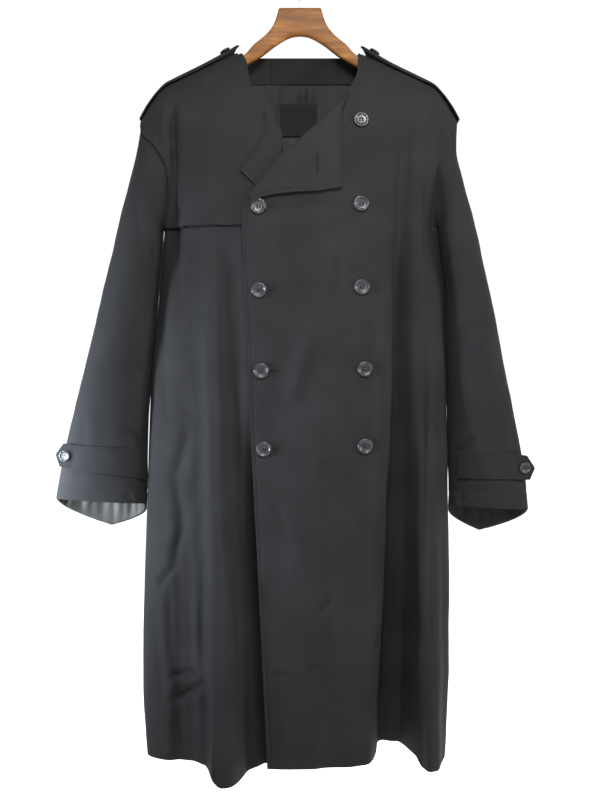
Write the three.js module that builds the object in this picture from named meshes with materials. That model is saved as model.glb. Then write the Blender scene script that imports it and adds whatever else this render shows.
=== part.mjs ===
// A collarless double-breasted trench coat hanging on a flat wooden hanger.
// Millimetres, +Z up, +X to the viewer's right, the coat's front faces -Y.
// The origin is the inside top of the hanger's hook, where a rail bears on it.
// "left" and "right" in names are the wearer's, so front_left shows on the viewer's right.
import * as THREE from "three";

// Walls and gaps
const CLOTH = 2; // outer cloth with its backing
const FOLDED = 2.4; // two layers sewn together: turned corners, straps
const LINING = 1.2;
const LABEL = 0.8;
const SEAM = 0.36; // space between two pieces that are sewn together
const SEATED = 0.5; // space under a piece that lies on another

// Main heights and depths of the coat
const PIT_Z = -430; // underarm level
const CHEST_FRONT = 82; // how far the front stands out from the shoulder line at the chest
const CHEST_BACK = 72;
const ARM_DEPTH = 45; // half the armhole's depth from front to back
const SQUARE = 2.6; // exponent of the body's rounded-box section
const LAP = 12; // how far the under front lies behind the over front at the chest
const LAP_HEM = 8;
const NECK_X = 98; // neck points, where the shoulder seams start
const NECK_TURN = 8; // width beside each neck point where the back's edge passes behind the hanger

// Grid of the panels
const ARM_STEPS = 12; // rows from the shoulder to the underarm
const SKIRT_STEPS = 11; // rows from the underarm to the hem
const OVER_COLUMNS = 24;
const UNDER_COLUMNS = { hidden: 7, shown: 15 }; // either side of the storm flap's front edge
const NECK_COLUMNS = 4; // of each half of the back, between the middle and the neck point
const SHOULDER_COLUMNS = 9;
const BACK_COLUMNS = 2 * (NECK_COLUMNS + 1 + SHOULDER_COLUMNS);
const FINE = 160; // points along a section before it is divided evenly

// Names the columns of a table.
const table = (columns, rows) =>
  rows.map((row) => Object.fromEntries(columns.map((name, i) => [name, row[i]])));

// Shoulder seam: its height at a distance x from the middle.
const SHOULDER = table(["x", "z"], [
  [98, -134],
  [134, -149],
  [161, -160.5],
  [188, -172.5],
  [208, -182],
  [222, -189.5],
  [235, -203.5],
  [248, -223],
  [257, -238.5],
  [264, -252],
]);

// Body below the underarm: half widths to either side, and depths to the front and back.
const BODY = table(["z", "left", "right", "front", "back"], [
  [-1330, 252, 241, 90, 101],
  [-1306, 254, 242, 90, 100],
  [-1190, 262, 247, 90, 94],
  [-1000, 259, 249, 88, 88],
  [-889, 255, 247, 86, 85],
  [-712, 249.5, 244.3, 84, 80],
  [-620, 241.5, 242.5, 83.5, 77.5],
  [-535, 234.5, 240.5, 83, 75],
  [-430, 226, 228, 82, 72],
]);

// Armhole seam: its distance from the middle at each level, 0 at the underarm, 1 at the shoulder.
const ARMHOLE = table(["level", "left", "right"], [
  [0, 226, 228],
  [0.2, 219, 224],
  [0.375, 221, 226],
  [0.6, 240, 238.5],
  [0.774, 257, 252],
  [0.9, 262.5, 259],
  [1, 264, 262],
]);

// Front edges. Levels run from -1 at the hem through 0 at the underarm to 1 at the shoulder.
const OVER_EDGE = table(["level", "x"], [
  [-1, -52.2],
  [-0.786, -61.7],
  [-0.62, -68.3],
  [-0.418, -77.8],
  [-0.27, -82.4],
  [-0.123, -89.6],
  [0, -93.6],
  [0.067, -93.8],
  [0.146, -80],
  [0.25, -57],
  [0.356, -31],
  [0.5, 14.7],
  [0.58, 41.9],
  [0.688, 68.6],
  [0.741, 77.5],
  [0.879, 95.2],
  [1, 98],
]);
const UNDER_EDGE = table(["level", "x"], [
  [-1, 75],
  [0, 66],
  [0.146, 45],
  [0.25, 8],
  [0.371, -31],
  [0.5, -32.7],
  [0.615, -52.5],
  [0.679, -62.4],
  [0.75, -77],
  [0.854, -85.5],
  [0.933, -89],
  [1, -98],
]);
const STORM_EDGE = table(["level", "x"], [
  [0, -62],
  [0.146, -58],
  [0.25, -50],
  [0.371, -44],
  [0.5, -46],
  [0.629, -64],
  [0.75, -87],
  [0.854, -94],
  [0.95, -99],
  [1, -104],
]);

// Height of the front hem.
const HEM = table(["x", "z"], [
  [-260, -1305],
  [-167, -1306],
  [-145, -1312],
  [-125, -1328],
  [-98, -1323],
  [-55, -1309],
  [62, -1308.5],
  [111, -1303],
  [147, -1297],
  [190, -1299],
  [200, -1314],
  [227, -1315],
  [245, -1306],
]);
const BACK_HEM_Z = -1306;

// Folds: the middle line runs from topX, topZ to endX, endZ. depth is how far the cloth
// is pushed back (or forward, if negative) at the end, and left and right are the reach.
const FOLD_COLUMNS = ["topX", "topZ", "endX", "endZ", "depth", "left", "right", "growth"];
const OVER_FOLDS = table(FOLD_COLUMNS, [
  [172, -272, 150, -1330, 122, 46, 50, 2.2],
  [172, -240, 158, -900, 6, 26, 26, 0.5],
  [216, -500, 214, -1330, -36, 16, 26, 1.6],
  [212, -210, 218, -440, 9, 22, 20, 0.6],
  [20, -620, -5, -1330, -5, 60, 60, 0.8],
  [60, -1000, 50, -1330, 5, 34, 34, 1],
]);
const UNDER_FOLDS = table(FOLD_COLUMNS, [
  [-145, -450, -127, -1330, -58, 27, 46, 2.4],
  [-146, -330, -140, -900, -5, 30, 30, 0.4],
  [-190, -800, -186, -1330, 15, 32, 30, 1.2],
  [-84, -800, -70, -1330, 13, 22, 30, 1],
  [-207, -210, -211, -440, 9, 20, 22, 0.6],
]);
const BACK_FOLDS = table(FOLD_COLUMNS, [
  [-60, -300, -70, -1330, -22, 50, 60, 1.3],
  [40, -420, 55, -1330, -18, 55, 45, 1.6],
  [-165, -500, -160, -1330, 12, 40, 45, 1.4],
  [150, -600, 165, -1330, -14, 40, 30, 1.5],
  [-210, -215, -215, -440, -8, 20, 20, 0.6],
  [210, -215, 216, -440, -8, 20, 20, 0.6],
]);
const FOLD_FADE = 90; // height over which a fold dies out below its end
const FOLD_START = 0.55; // reach of a fold at its top, as a share of its reach at the end
const SIDE_CALM = 18; // distance from the side seam within which folds die out
const FOLD_WALL = 0.7; // share of a fold's reach that its sloping wall takes up

// Sleeves: a row for each ring, given by its outermost and innermost point and its half depth.
const SLEEVE_COLUMNS = ["outX", "outZ", "inX", "inZ", "depth"];
const SLEEVE_LEFT = table(SLEEVE_COLUMNS, [
  [264, -252, 226, -430, 45],
  [270.5, -294, 230, -431.5, 52],
  [281, -338, 231, -448, 58],
  [293, -384, 232.5, -470, 62],
  [304.5, -432, 234.6, -495, 63],
  [316, -482, 237, -524, 61],
  [330, -540, 240.2, -566, 58],
  [346, -605, 244.4, -618, 54],
  [362, -672, 250, -680, 50],
  [378, -736, 255, -744, 45],
  [392, -794, 256.6, -801, 39],
  [402, -842, 257.4, -850, 34],
  [408.5, -880, 258.2, -888, 30],
]);
const SLEEVE_RIGHT = table(SLEEVE_COLUMNS, [
  [262, -247.5, 228, -430, 45],
  [260.5, -294, 231.5, -431.5, 50],
  [269, -338, 233.2, -448, 57],
  [281, -384, 236, -470, 62],
  [293.5, -432, 239, -495, 63],
  [304.5, -482, 242.3, -524, 61],
  [318, -540, 244.3, -566, 58],
  [331.5, -605, 245.5, -618, 54],
  [344, -672, 246.7, -680, 50],
  [357.5, -738, 247.8, -744, 45],
  [369.5, -798, 248.7, -801, 39],
  [377.5, -848, 249.3, -850, 34],
  [382, -898, 250, -890, 30],
]);
const SLEEVE_SQUARE = 2.2;
const RING = 2 * ARM_STEPS; // points of each ring

// The back of the cuff hangs lower, in a V: its middle and reach round the ring, in degrees,
// and the share of the sleeve's length where it starts.
const CUFF_V = { drop: 43, middle: 262, reach: 98, start: 0.84 };
const CUFF_LINING_ROWS = [1.5, 0.75, 0.09]; // its rings, counted up from the sleeve's last ring

// Turned-back corner of the over front. along is the share of the fold line from its foot.
const LAPEL_EDGE = table(["along", "x", "z"], [
  [0, -80, -397],
  [0.1, -62, -387],
  [0.2, -40, -382.5],
  [0.3, -8, -379],
  [0.4, 30, -377],
  [0.5, 67.7, -371],
  [0.6, 67.7, -336],
  [0.7, 67.5, -303],
  [0.8, 67, -275],
  [0.9, 66.5, -248],
  [1, 77, -214],
]);
const LAPEL_LEVELS = { foot: 0.146, head: 0.75 };
const LAPEL_ROLL = 3.4;
const LAPEL_AWAY = new THREE.Vector3(-0.75, 0, 0.66); // across its fold line, off the front

// Turned-out corner of the under front, from the top of its roll down.
const FLAP_EDGE = table(["along", "x", "z"], [
  [0, -56, -251],
  [0.167, -52.5, -272],
  [0.333, -62, -295],
  [0.5, -78, -319],
  [0.667, -97, -341],
  [0.833, -70, -368],
  [1, -34, -379],
]);
const FLAP_LEVELS = { foot: 0.25, head: 0.629 };
const FLAP_ROLL = 3.3;
const FLAP_AWAY = new THREE.Vector3(0.92, 0, 0.39);
const ROLL_STEPS = 4;
const FLAT_STEPS = 4;

// Inside of the back, where the open neck shows it
const BAND = { halfWidth: 78, top: 0.955, bottom: 0.852, columns: 12 };
const PANEL_LINING = { left: -88, right: 84, top: 0.846, bottom: 0.34, columns: 12, rows: 5 };
const NECK_LABEL = { x: -3, z: -235, width: 62, height: 54 };
const INSET = CLOTH / 2 + 1.3 + LINING / 2; // middle of these pieces inside the middle of the back

// Storm flap
const STORM_OUT = CLOTH + 1; // its middle above the middle of the front it lies on
const STORM_SHORT = 2.5; // how far it stops before the armhole seam
const STORM_CORNER = 0.1; // level below which its outer corner is cut away from the underarm

// Straps
const EPAULETTE = table(["x", "lift", "half", "drop"], [
  [263, 2.8, 22, 0.5],
  [253, 3, 22.5, 0.8],
  [241, 3.3, 23, 2.2],
  [225, 3.8, 22.5, 5],
  [200, 4.3, 22, 7.5],
  [175, 5, 21.5, 8],
  [150, 6.6, 21, 8],
  [124, 9.4, 20.5, 8],
  [111, 11.4, 20, 8],
  [99, 13.2, 2, 8],
]);
const EPAULETTE_BUTTON_ROW = 7; // row of the table that the button sits on
const EPAULETTE_ON_STORM = 1.9; // the storm flap raises the strap that lies over it
const STRAP_RUNS = {
  left: { from: 164, innerTop: 0.826, outerTop: 0.825, innerBottom: 0.913, outerBottom: 0.889, tip: 31 },
  right: { from: 140, innerTop: 0.829, outerTop: 0.845, innerBottom: 0.907, outerBottom: 0.914, tip: 35 },
};
const STRAP_TURN = 48; // where a cuff strap leaves the curve of its sleeve
const STRAP_COLUMNS = 9;

// Buttons
const BUTTON = { radius: 12.5, height: 4.2 };
const CUFF_BUTTON = { radius: 9.5, height: 3.6 };
const CUFF_BUTTON_STAND = 0.9; // thread between a cuff's button and its bent strap
const FRONT_BUTTONS = table(["name", "x", "z"], [
  ["button_inner_1", -67, -402],
  ["button_inner_2", -66, -537.5],
  ["button_inner_3", -62.5, -668],
  ["button_inner_4", -58.2, -794.5],
  ["button_outer_0", 99.5, -259],
  ["button_outer_1", 98.8, -397],
  ["button_outer_2", 99.8, -532.5],
  ["button_outer_3", 104.6, -665],
  ["button_outer_4", 105.3, -790],
]);

// Hanger
const WOOD = 13;
const WOOD_BEVEL = 2.2;
const WOOD_UNDER_SEAM = 3.7; // top of the arms below the shoulder seam
const ARM_HEIGHT = { root: 25, end: 19 };
const ARM_END_X = 221;
// Right half of the board's outline: the neck down to the shoulder, and the arch back under it
const WOOD_NECK = table(["x", "z"], [
  [35.5, -57.3],
  [38.8, -70.6],
  [48.5, -92],
  [60, -104.5],
  [78, -119.5],
  [90.5, -133.5],
  [95.5, -138.5],
]);
const WOOD_ARCH = table(["x", "z"], [
  [90, -154],
  [62.5, -137.3],
  [40.3, -120.5],
  [19.5, -108.4],
  [0, -104.4],
]);
const HOOK = { bore: 17, wire: 1.6, footZ: -57, sides: 8, steps: 28 };
const HOOK_STEM = table(["x", "z"], [
  [0, -50],
  [0.6, -43],
  [4, -37.5],
]);
const HOOK_RING = { from: -62, to: 205, step: 16 }; // degrees round the middle of its loop

const COLOURS = {
  cloth: 0x3b3d40,
  lining: 0x1c1c1f,
  label: 0x101012,
  button: 0x1a1b1d,
  wood: 0x9c6a3c,
  wire: 0xb8b4ac,
};
const group = new THREE.Group();

// Places a finished geometry in the group under its own name.
function add(name, geometry, colour, roughness = 0.85, metalness = 0) {
  const material = new THREE.MeshStandardMaterial({ color: colour, roughness, metalness });
  const mesh = new THREE.Mesh(geometry, material);
  mesh.name = name;
  group.add(mesh);
  return mesh;
}

const clamp = (value, low, high) => Math.min(high, Math.max(low, value));
const mix = (a, b, t) => a + (b - a) * t;
const smooth = (t) => {
  const c = clamp(t, 0, 1);
  return c * c * (3 - 2 * c);
};
const sideOf = (x) => (x < 0 ? "left" : "right");

// Reads a column of a table at a value of its key column, on straight lines between rows.
function lookup(rows, key, value, column) {
  const last = rows.length - 1;
  if (value <= rows[0][key]) return rows[0][column];
  if (value >= rows[last][key]) return rows[last][column];
  const i = rows.findIndex((row) => row[key] > value);
  const t = (value - rows[i - 1][key]) / (rows[i][key] - rows[i - 1][key]);
  return mix(rows[i - 1][column], rows[i][column], t);
}

const shoulderZ = (x) => lookup(SHOULDER, "x", Math.abs(x), "z");
const levelAt = (x, z) => (z - PIT_Z) / (shoulderZ(x) - PIT_Z);
const armDepth = (level) => ARM_DEPTH * 2 * Math.sqrt(Math.max(0, level * (1 - level)));

// Height of a point of a panel: level 1 is the shoulder seam, 0 the underarm, -1 the hem.
function heightAt(x, level, hem) {
  if (level >= 0) return mix(PIT_Z, shoulderZ(x), level);
  return mix(PIT_Z, hem(x), -level);
}

// Depth that a list of folds adds at a point.
function foldDepth(folds, x, z) {
  let sum = 0;
  for (const fold of folds) {
    const t = (fold.topZ - z) / (fold.topZ - fold.endZ);
    if (t <= 0) continue;
    const along = Math.min(1, t);
    const fade = 1 - smooth((fold.endZ - z) / FOLD_FADE);
    const middle = mix(fold.topX, fold.endX, t);
    const reach = (x < middle ? fold.left : fold.right) * mix(FOLD_START, 1, along);
    const across = smooth((1 - Math.abs(x - middle) / reach) / FOLD_WALL);
    sum += fold.depth * along ** fold.growth * fade * across;
  }
  return sum;
}

// The rounded-box section through x, z: how far it stands out, and its half width. Above the
// underarm it closes in to the shoulder seam and passes through the armhole's edge.
function sectionAt(x, z, chest, skirtDepth) {
  const half = lookup(BODY, "z", z, sideOf(x));
  if (z <= PIT_Z) return { reach: skirtDepth(z), half };
  const level = Math.min(levelAt(x, z), 0.99999);
  const reach = chest * Math.sqrt(1 - level * level);
  const share = armDepth(level) / reach;
  const arm = lookup(ARMHOLE, "level", level, sideOf(x));
  return { reach, half: arm / (1 - share ** SQUARE) ** (1 / SQUARE) };
}

// Depth of a panel at x, z: the section on its side of the coat, with its folds, which die out
// at the side seam. sign is -1 at the front and 1 at the back.
function panelDepth(x, z, sign, chest, skirtDepth, folds) {
  const { reach, half } = sectionAt(x, z, chest, skirtDepth);
  const u = Math.min(1, Math.abs(x) / half);
  const inner = smooth((half - Math.abs(x)) / SIDE_CALM);
  return sign * reach * (1 - u ** SQUARE) ** (1 / SQUARE) + inner * foldDepth(folds, x, z);
}

const bodyDepth = (z, column) => lookup(BODY, "z", z, column);
const lapAt = (z) => mix(LAP, LAP_HEM, smooth((PIT_Z - z) / 300));
const overSkirt = (z) => bodyDepth(z, "front");
const underSkirt = (z) => bodyDepth(z, "front") - lapAt(z);
const backSkirt = (z) => bodyDepth(z, "back");
const overY = (x, z) => panelDepth(x, z, -1, CHEST_FRONT, overSkirt, OVER_FOLDS);
const underY = (x, z) => panelDepth(x, z, -1, CHEST_FRONT - LAP, underSkirt, UNDER_FOLDS);
const backY = (x, z) => panelDepth(x, z, 1, CHEST_BACK, backSkirt, BACK_FOLDS);

// Divides a fine line of points into equal steps.
function resample(points, steps) {
  const lengths = [0];
  for (let i = 1; i < points.length; i++)
    lengths.push(lengths[i - 1] + points[i].distanceTo(points[i - 1]));
  const total = lengths[lengths.length - 1];
  const out = [points[0].clone()];
  let i = 1;
  for (let k = 1; k < steps; k++) {
    const want = (total * k) / steps;
    while (lengths[i] < want) i++;
    const t = (want - lengths[i - 1]) / (lengths[i] - lengths[i - 1]);
    out.push(points[i - 1].clone().lerp(points[i], t));
  }
  out.push(points[points.length - 1].clone());
  return out;
}

// One row of a panel from xFrom to xTo at a level, crowded towards xTo while it is sampled.
function row(xFrom, xTo, level, hem, depth, steps) {
  const points = [];
  for (let i = 0; i <= FINE; i++) {
    const t = i / FINE;
    const x = mix(xFrom, xTo, 1 - (1 - t) ** 2);
    const z = heightAt(x, level, hem);
    points.push(new THREE.Vector3(x, depth(x, z), z));
  }
  return resample(points, steps);
}

// Levels of the rows, close together at the shoulder and the underarm, as the armhole turns there.
const ARM_LEVELS = [];
for (let i = 0; i <= ARM_STEPS; i++)
  ARM_LEVELS.push((1 + Math.cos((Math.PI * i) / ARM_STEPS)) / 2);
const LEVELS = [...ARM_LEVELS];
for (let i = 1; i <= SKIRT_STEPS; i++) LEVELS.push(-i / SKIRT_STEPS);

const frontHem = (x) => lookup(HEM, "x", x, "z");
const backHem = () => BACK_HEM_Z;

const edgeX = (edge, level) => lookup(edge, "level", level, "x");

// Distance of the side of the body from the middle at a level: the armhole, or the side seam.
function sideX(level, side, hem) {
  const sign = side === "left" ? -1 : 1;
  if (level >= 0) return sign * lookup(ARMHOLE, "level", level, side);
  let x = sign * lookup(BODY, "z", PIT_Z, side);
  for (let i = 0; i < 4; i++) x = sign * lookup(BODY, "z", heightAt(x, level, hem), side);
  return x;
}

// The grids of the two fronts, from their edges to their sides. The under front's rows are
// divided at the storm flap's edge, so that the flap can lie on its points.
const overGrid = LEVELS.map((level) =>
  row(edgeX(OVER_EDGE, level), sideX(level, "right", frontHem), level, frontHem, overY, OVER_COLUMNS),
);
const underGrid = LEVELS.map((level) => {
  const middle = edgeX(STORM_EDGE, level);
  const hidden = row(edgeX(UNDER_EDGE, level), middle, level, frontHem, underY, UNDER_COLUMNS.hidden);
  const end = sideX(level, "left", frontHem);
  const shown = row(middle, end, level, frontHem, underY, UNDER_COLUMNS.shown);
  return [...hidden, ...shown.slice(1)];
});

// The back's top edge dips a little between the neck points and passes behind the hanger.
const neckDip = (x) => 1 - 0.03 * smooth((NECK_X - Math.abs(x)) / NECK_TURN);

function backGrid() {
  return LEVELS.map((level) => {
    const height = (x) => heightAt(x, level > 0 ? level * neckDip(x) : level, backHem);
    const stretch = (from, to, steps) => {
      const points = [];
      for (let i = 0; i <= FINE; i++) {
        const x = mix(from, to, 1 - (1 - i / FINE) ** 2);
        points.push(new THREE.Vector3(x, backY(x, height(x)), height(x)));
      }
      return resample(points, steps);
    };
    const half = (side) => {
      const sign = side === "left" ? -1 : 1;
      const turned = sign * (NECK_X - NECK_TURN);
      const neck = stretch(0, turned, NECK_COLUMNS);
      const shoulder = stretch(sign * NECK_X, sideX(level, side, backHem), SHOULDER_COLUMNS);
      return [...neck, ...shoulder];
    };
    return [...half("left").slice(1).reverse(), ...half("right")];
  });
}

// Unit normals of a grid of points, all to the same side of it; ring grids close on themselves.
function normalsOf(grid, ring = false) {
  const rows = grid.length;
  const columns = grid[0].length;
  return grid.map((line, i) =>
    line.map((_, j) => {
      const up = grid[Math.max(0, i - 1)][j];
      const down = grid[Math.min(rows - 1, i + 1)][j];
      const before = ring ? line[(j + columns - 1) % columns] : line[Math.max(0, j - 1)];
      const after = ring ? line[(j + 1) % columns] : line[Math.min(columns - 1, j + 1)];
      const along = after.clone().sub(before).normalize();
      const across = down.clone().sub(up).normalize();
      return along.cross(across).normalize();
    }),
  );
}

// Turns all normals round if the one at row i, column j points away from the given direction.
function facing(normals, i, j, direction) {
  if (normals[i][j].dot(direction) < 0) normals.forEach((line) => line.forEach((n) => n.negate()));
  return normals;
}

// Draws the rim of a grid back along its surface, so that a seam's gap is left.
function drawnBack(grid, edges, amount = SEAM / 2) {
  const out = grid.map((line) => line.map((p) => p.clone()));
  const rows = grid.length;
  const columns = grid[0].length;
  const pull = (i, j, k, l) => {
    const step = grid[k][l].clone().sub(grid[i][j]);
    out[i][j].addScaledVector(step.normalize(), amount);
  };
  for (let j = 0; j < columns; j++) {
    if (edges.includes("top")) pull(0, j, 1, j);
    if (edges.includes("bottom")) pull(rows - 1, j, rows - 2, j);
  }
  for (let i = 0; i < rows; i++) {
    if (edges.includes("start")) pull(i, 0, i, 1);
    if (edges.includes("end")) pull(i, columns - 1, i, columns - 2);
  }
  return out;
}

// A closed wall: the grid moved half the thickness to either side of itself, and joined round its rim.
function wall(grid, normals, thickness, ring = false) {
  const rows = grid.length;
  const columns = grid[0].length;
  const positions = [];
  for (const side of [1, -1])
    for (let i = 0; i < rows; i++)
      for (let j = 0; j < columns; j++) {
        const p = grid[i][j].clone().addScaledVector(normals[i][j], (side * thickness) / 2);
        positions.push(p.x, p.y, p.z);
      }
  const at = (layer, i, j) => layer * rows * columns + i * columns + (j % columns);
  const faces = [];
  const quad = (a, b, c, d) => faces.push(a, b, c, a, c, d);
  const across = ring ? columns : columns - 1;
  for (let i = 0; i < rows - 1; i++)
    for (let j = 0; j < across; j++) {
      quad(at(0, i, j), at(0, i + 1, j), at(0, i + 1, j + 1), at(0, i, j + 1));
      quad(at(1, i, j), at(1, i, j + 1), at(1, i + 1, j + 1), at(1, i + 1, j));
    }
  for (let j = 0; j < across; j++) {
    quad(at(0, 0, j), at(0, 0, j + 1), at(1, 0, j + 1), at(1, 0, j));
    quad(at(0, rows - 1, j), at(1, rows - 1, j), at(1, rows - 1, j + 1), at(0, rows - 1, j + 1));
  }
  if (!ring)
    for (let i = 0; i < rows - 1; i++) {
      const end = columns - 1;
      quad(at(0, i, 0), at(1, i, 0), at(1, i + 1, 0), at(0, i + 1, 0));
      quad(at(0, i, end), at(0, i + 1, end), at(1, i + 1, end), at(1, i, end));
    }
  return closed(positions, faces);
}

// Makes the geometry of a closed surface, turned round if its faces point inwards.
function closed(positions, faces) {
  const corner = (i) => new THREE.Vector3().fromArray(positions, 3 * faces[i]);
  let volume = 0;
  for (let i = 0; i < faces.length; i += 3)
    volume += corner(i).dot(corner(i + 1).cross(corner(i + 2)));
  if (volume < 0)
    for (let i = 0; i < faces.length; i += 3) [faces[i], faces[i + 1]] = [faces[i + 1], faces[i]];
  const geometry = new THREE.BufferGeometry();
  geometry.setAttribute("position", new THREE.Float32BufferAttribute(positions, 3));
  geometry.setIndex(faces);
  geometry.computeVertexNormals();
  return geometry;
}

// Fronts, back and sleeves share their seams, so their grids and normals are worked out together.
const FRONT = new THREE.Vector3(0, -1, 0);
const BACK = new THREE.Vector3(0, 1, 0);
const over = { grid: overGrid };
const under = { grid: underGrid };
const back = { grid: backGrid() };
over.normals = facing(normalsOf(over.grid), ARM_STEPS, 4, FRONT);
under.normals = facing(normalsOf(under.grid), ARM_STEPS, 4, FRONT);
back.normals = facing(normalsOf(back.grid), ARM_STEPS, BACK_COLUMNS / 2, BACK);

// Side and shoulder seams lie on the plane y = 0, and a wall there is cut square to it.
const flatten = (n) => n.setY(0).normalize();
for (const panel of [over, under]) {
  panel.normals[0].forEach(flatten);
  panel.normals.slice(ARM_STEPS).forEach((line) => flatten(line[line.length - 1]));
}
back.normals[0].forEach((n, j) => {
  if (Math.abs(back.grid[0][j].x) >= NECK_X) flatten(n);
});
back.normals.slice(ARM_STEPS).forEach((line) => [line[0], line[line.length - 1]].forEach(flatten));

// A point on a sleeve ring. The first ring is the armhole itself, and turn runs from the
// outermost point (0) over the front (90) and the innermost point (180) to the back.
function ringPoint(ringRow, sign, turn) {
  const c = Math.cos((turn * Math.PI) / 180);
  const s = Math.sin((turn * Math.PI) / 180);
  const across = Math.sign(c) * Math.abs(c) ** (2 / SLEEVE_SQUARE);
  const deep = Math.sign(s) * Math.abs(s) ** (2 / SLEEVE_SQUARE);
  const middleX = (ringRow.outX + ringRow.inX) / 2;
  const middleZ = (ringRow.outZ + ringRow.inZ) / 2;
  return new THREE.Vector3(
    sign * (middleX + ((ringRow.outX - ringRow.inX) / 2) * across),
    -ringRow.depth * deep,
    middleZ + ((ringRow.outZ - ringRow.inZ) / 2) * across,
  );
}

// The ring at a share s of the sleeve's length, between the rows of its table.
function ringAt(rows, s) {
  const keyed = rows.map((r, i) => ({ ...r, s: i / (rows.length - 1) }));
  return Object.fromEntries(SLEEVE_COLUMNS.map((name) => [name, lookup(keyed, "s", s, name)]));
}

// How much lower the V of the cuff makes a point of a ring.
function cuffDrop(turn, ringShare) {
  const v = clamp(1 - Math.abs(turn - CUFF_V.middle) / CUFF_V.reach, 0, 1);
  return CUFF_V.drop * v * smooth((ringShare - CUFF_V.start) / (1 - CUFF_V.start));
}

function sleeve(side, front, backColumn) {
  const rows = side === "left" ? SLEEVE_LEFT : SLEEVE_RIGHT;
  const sign = side === "left" ? -1 : 1;
  const end = front.grid[0].length - 1;
  const seam = [];
  for (let i = 0; i <= ARM_STEPS; i++)
    seam.push({ p: front.grid[i][end], n: front.normals[i][end] });
  for (let i = ARM_STEPS - 1; i > 0; i--)
    seam.push({ p: back.grid[i][backColumn], n: back.normals[i][backColumn] });
  const grid = [seam.map((v) => v.p.clone())];
  for (let i = 1; i < rows.length; i++) {
    const share = i / (rows.length - 1);
    const line = [];
    for (let k = 0; k < RING; k++) {
      const turn = (360 * k) / RING;
      const p = ringPoint(rows[i], sign, turn);
      p.z -= cuffDrop(turn, share);
      line.push(p);
    }
    grid.push(line);
  }
  const out = new THREE.Vector3(sign, 0, 0.3);
  const normals = facing(normalsOf(grid, true), 5, 0, out);
  seam.forEach((v, k) => {
    const sum = v.n.clone().add(normals[0][k]);
    if (k === 0 || k === ARM_STEPS) sum.setY(0);
    const spread = clamp(sum.length() / 2, 0.7, 1);
    sum.normalize().divideScalar(spread);
    normals[0][k].copy(sum);
    v.n.copy(sum);
  });
  // The back's own seam vertices at the tip and the underarm take the same cut as the front's.
  back.normals[0][backColumn].copy(normals[0][0]);
  back.normals[ARM_STEPS][backColumn].copy(normals[0][ARM_STEPS]);
  return { grid, normals, rows, sign };
}
const sleeveLeft = sleeve("left", under, 0);
const sleeveRight = sleeve("right", over, BACK_COLUMNS);

add("front_left", wall(drawnBack(over.grid, "top start end"), over.normals, CLOTH), COLOURS.cloth);
add("front_right", wall(drawnBack(under.grid, "top start end"), under.normals, CLOTH), COLOURS.cloth);
add("back", wall(drawnBack(back.grid, "top start end"), back.normals, CLOTH), COLOURS.cloth);
for (const [name, one] of [["sleeve_left", sleeveRight], ["sleeve_right", sleeveLeft]])
  add(name, wall(drawnBack(one.grid, "top"), one.normals, CLOTH, true), COLOURS.cloth);

// Lining of each sleeve's end, seen where the back of the cuff hangs low
function cuffLining(one) {
  const last = one.grid.length - 1;
  const inset = CLOTH / 2 + SEATED + LINING / 2;
  const lines = CUFF_LINING_ROWS.map((up) => {
    const low = Math.floor(last - up);
    const share = last - up - low;
    return one.grid[low].map((p, k) => {
      const n = one.normals[low][k].clone().lerp(one.normals[Math.min(last, low + 1)][k], share);
      const q = p.clone().lerp(one.grid[Math.min(last, low + 1)][k], share);
      return q.addScaledVector(n.normalize(), -inset);
    });
  });
  const normals = facing(normalsOf(lines, true), 0, 0, new THREE.Vector3(one.sign, 0, 0));
  return wall(lines, normals, LINING, true);
}
add("cuff_lining_left", cuffLining(sleeveRight), COLOURS.lining, 0.4);
add("cuff_lining_right", cuffLining(sleeveLeft), COLOURS.lining, 0.4);

// Storm flap: lies on the under front from the shoulder to the underarm
const storm = { grid: [], normals: [] };
for (let i = 1; i <= ARM_STEPS; i++) {
  const normals = under.normals[i].slice(UNDER_COLUMNS.hidden).map((n) => n.clone());
  const line = under.grid[i].slice(UNDER_COLUMNS.hidden);
  const points = line.map((p, j) => p.clone().addScaledVector(normals[j], STORM_OUT));
  if (LEVELS[i] < STORM_CORNER) points[points.length - 1].lerp(points[points.length - 2], 0.75);
  storm.grid.push(points);
  storm.normals.push(normals);
}
add("storm_flap", wall(drawnBack(storm.grid, "end", STORM_SHORT), storm.normals, CLOTH), COLOURS.cloth);

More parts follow.
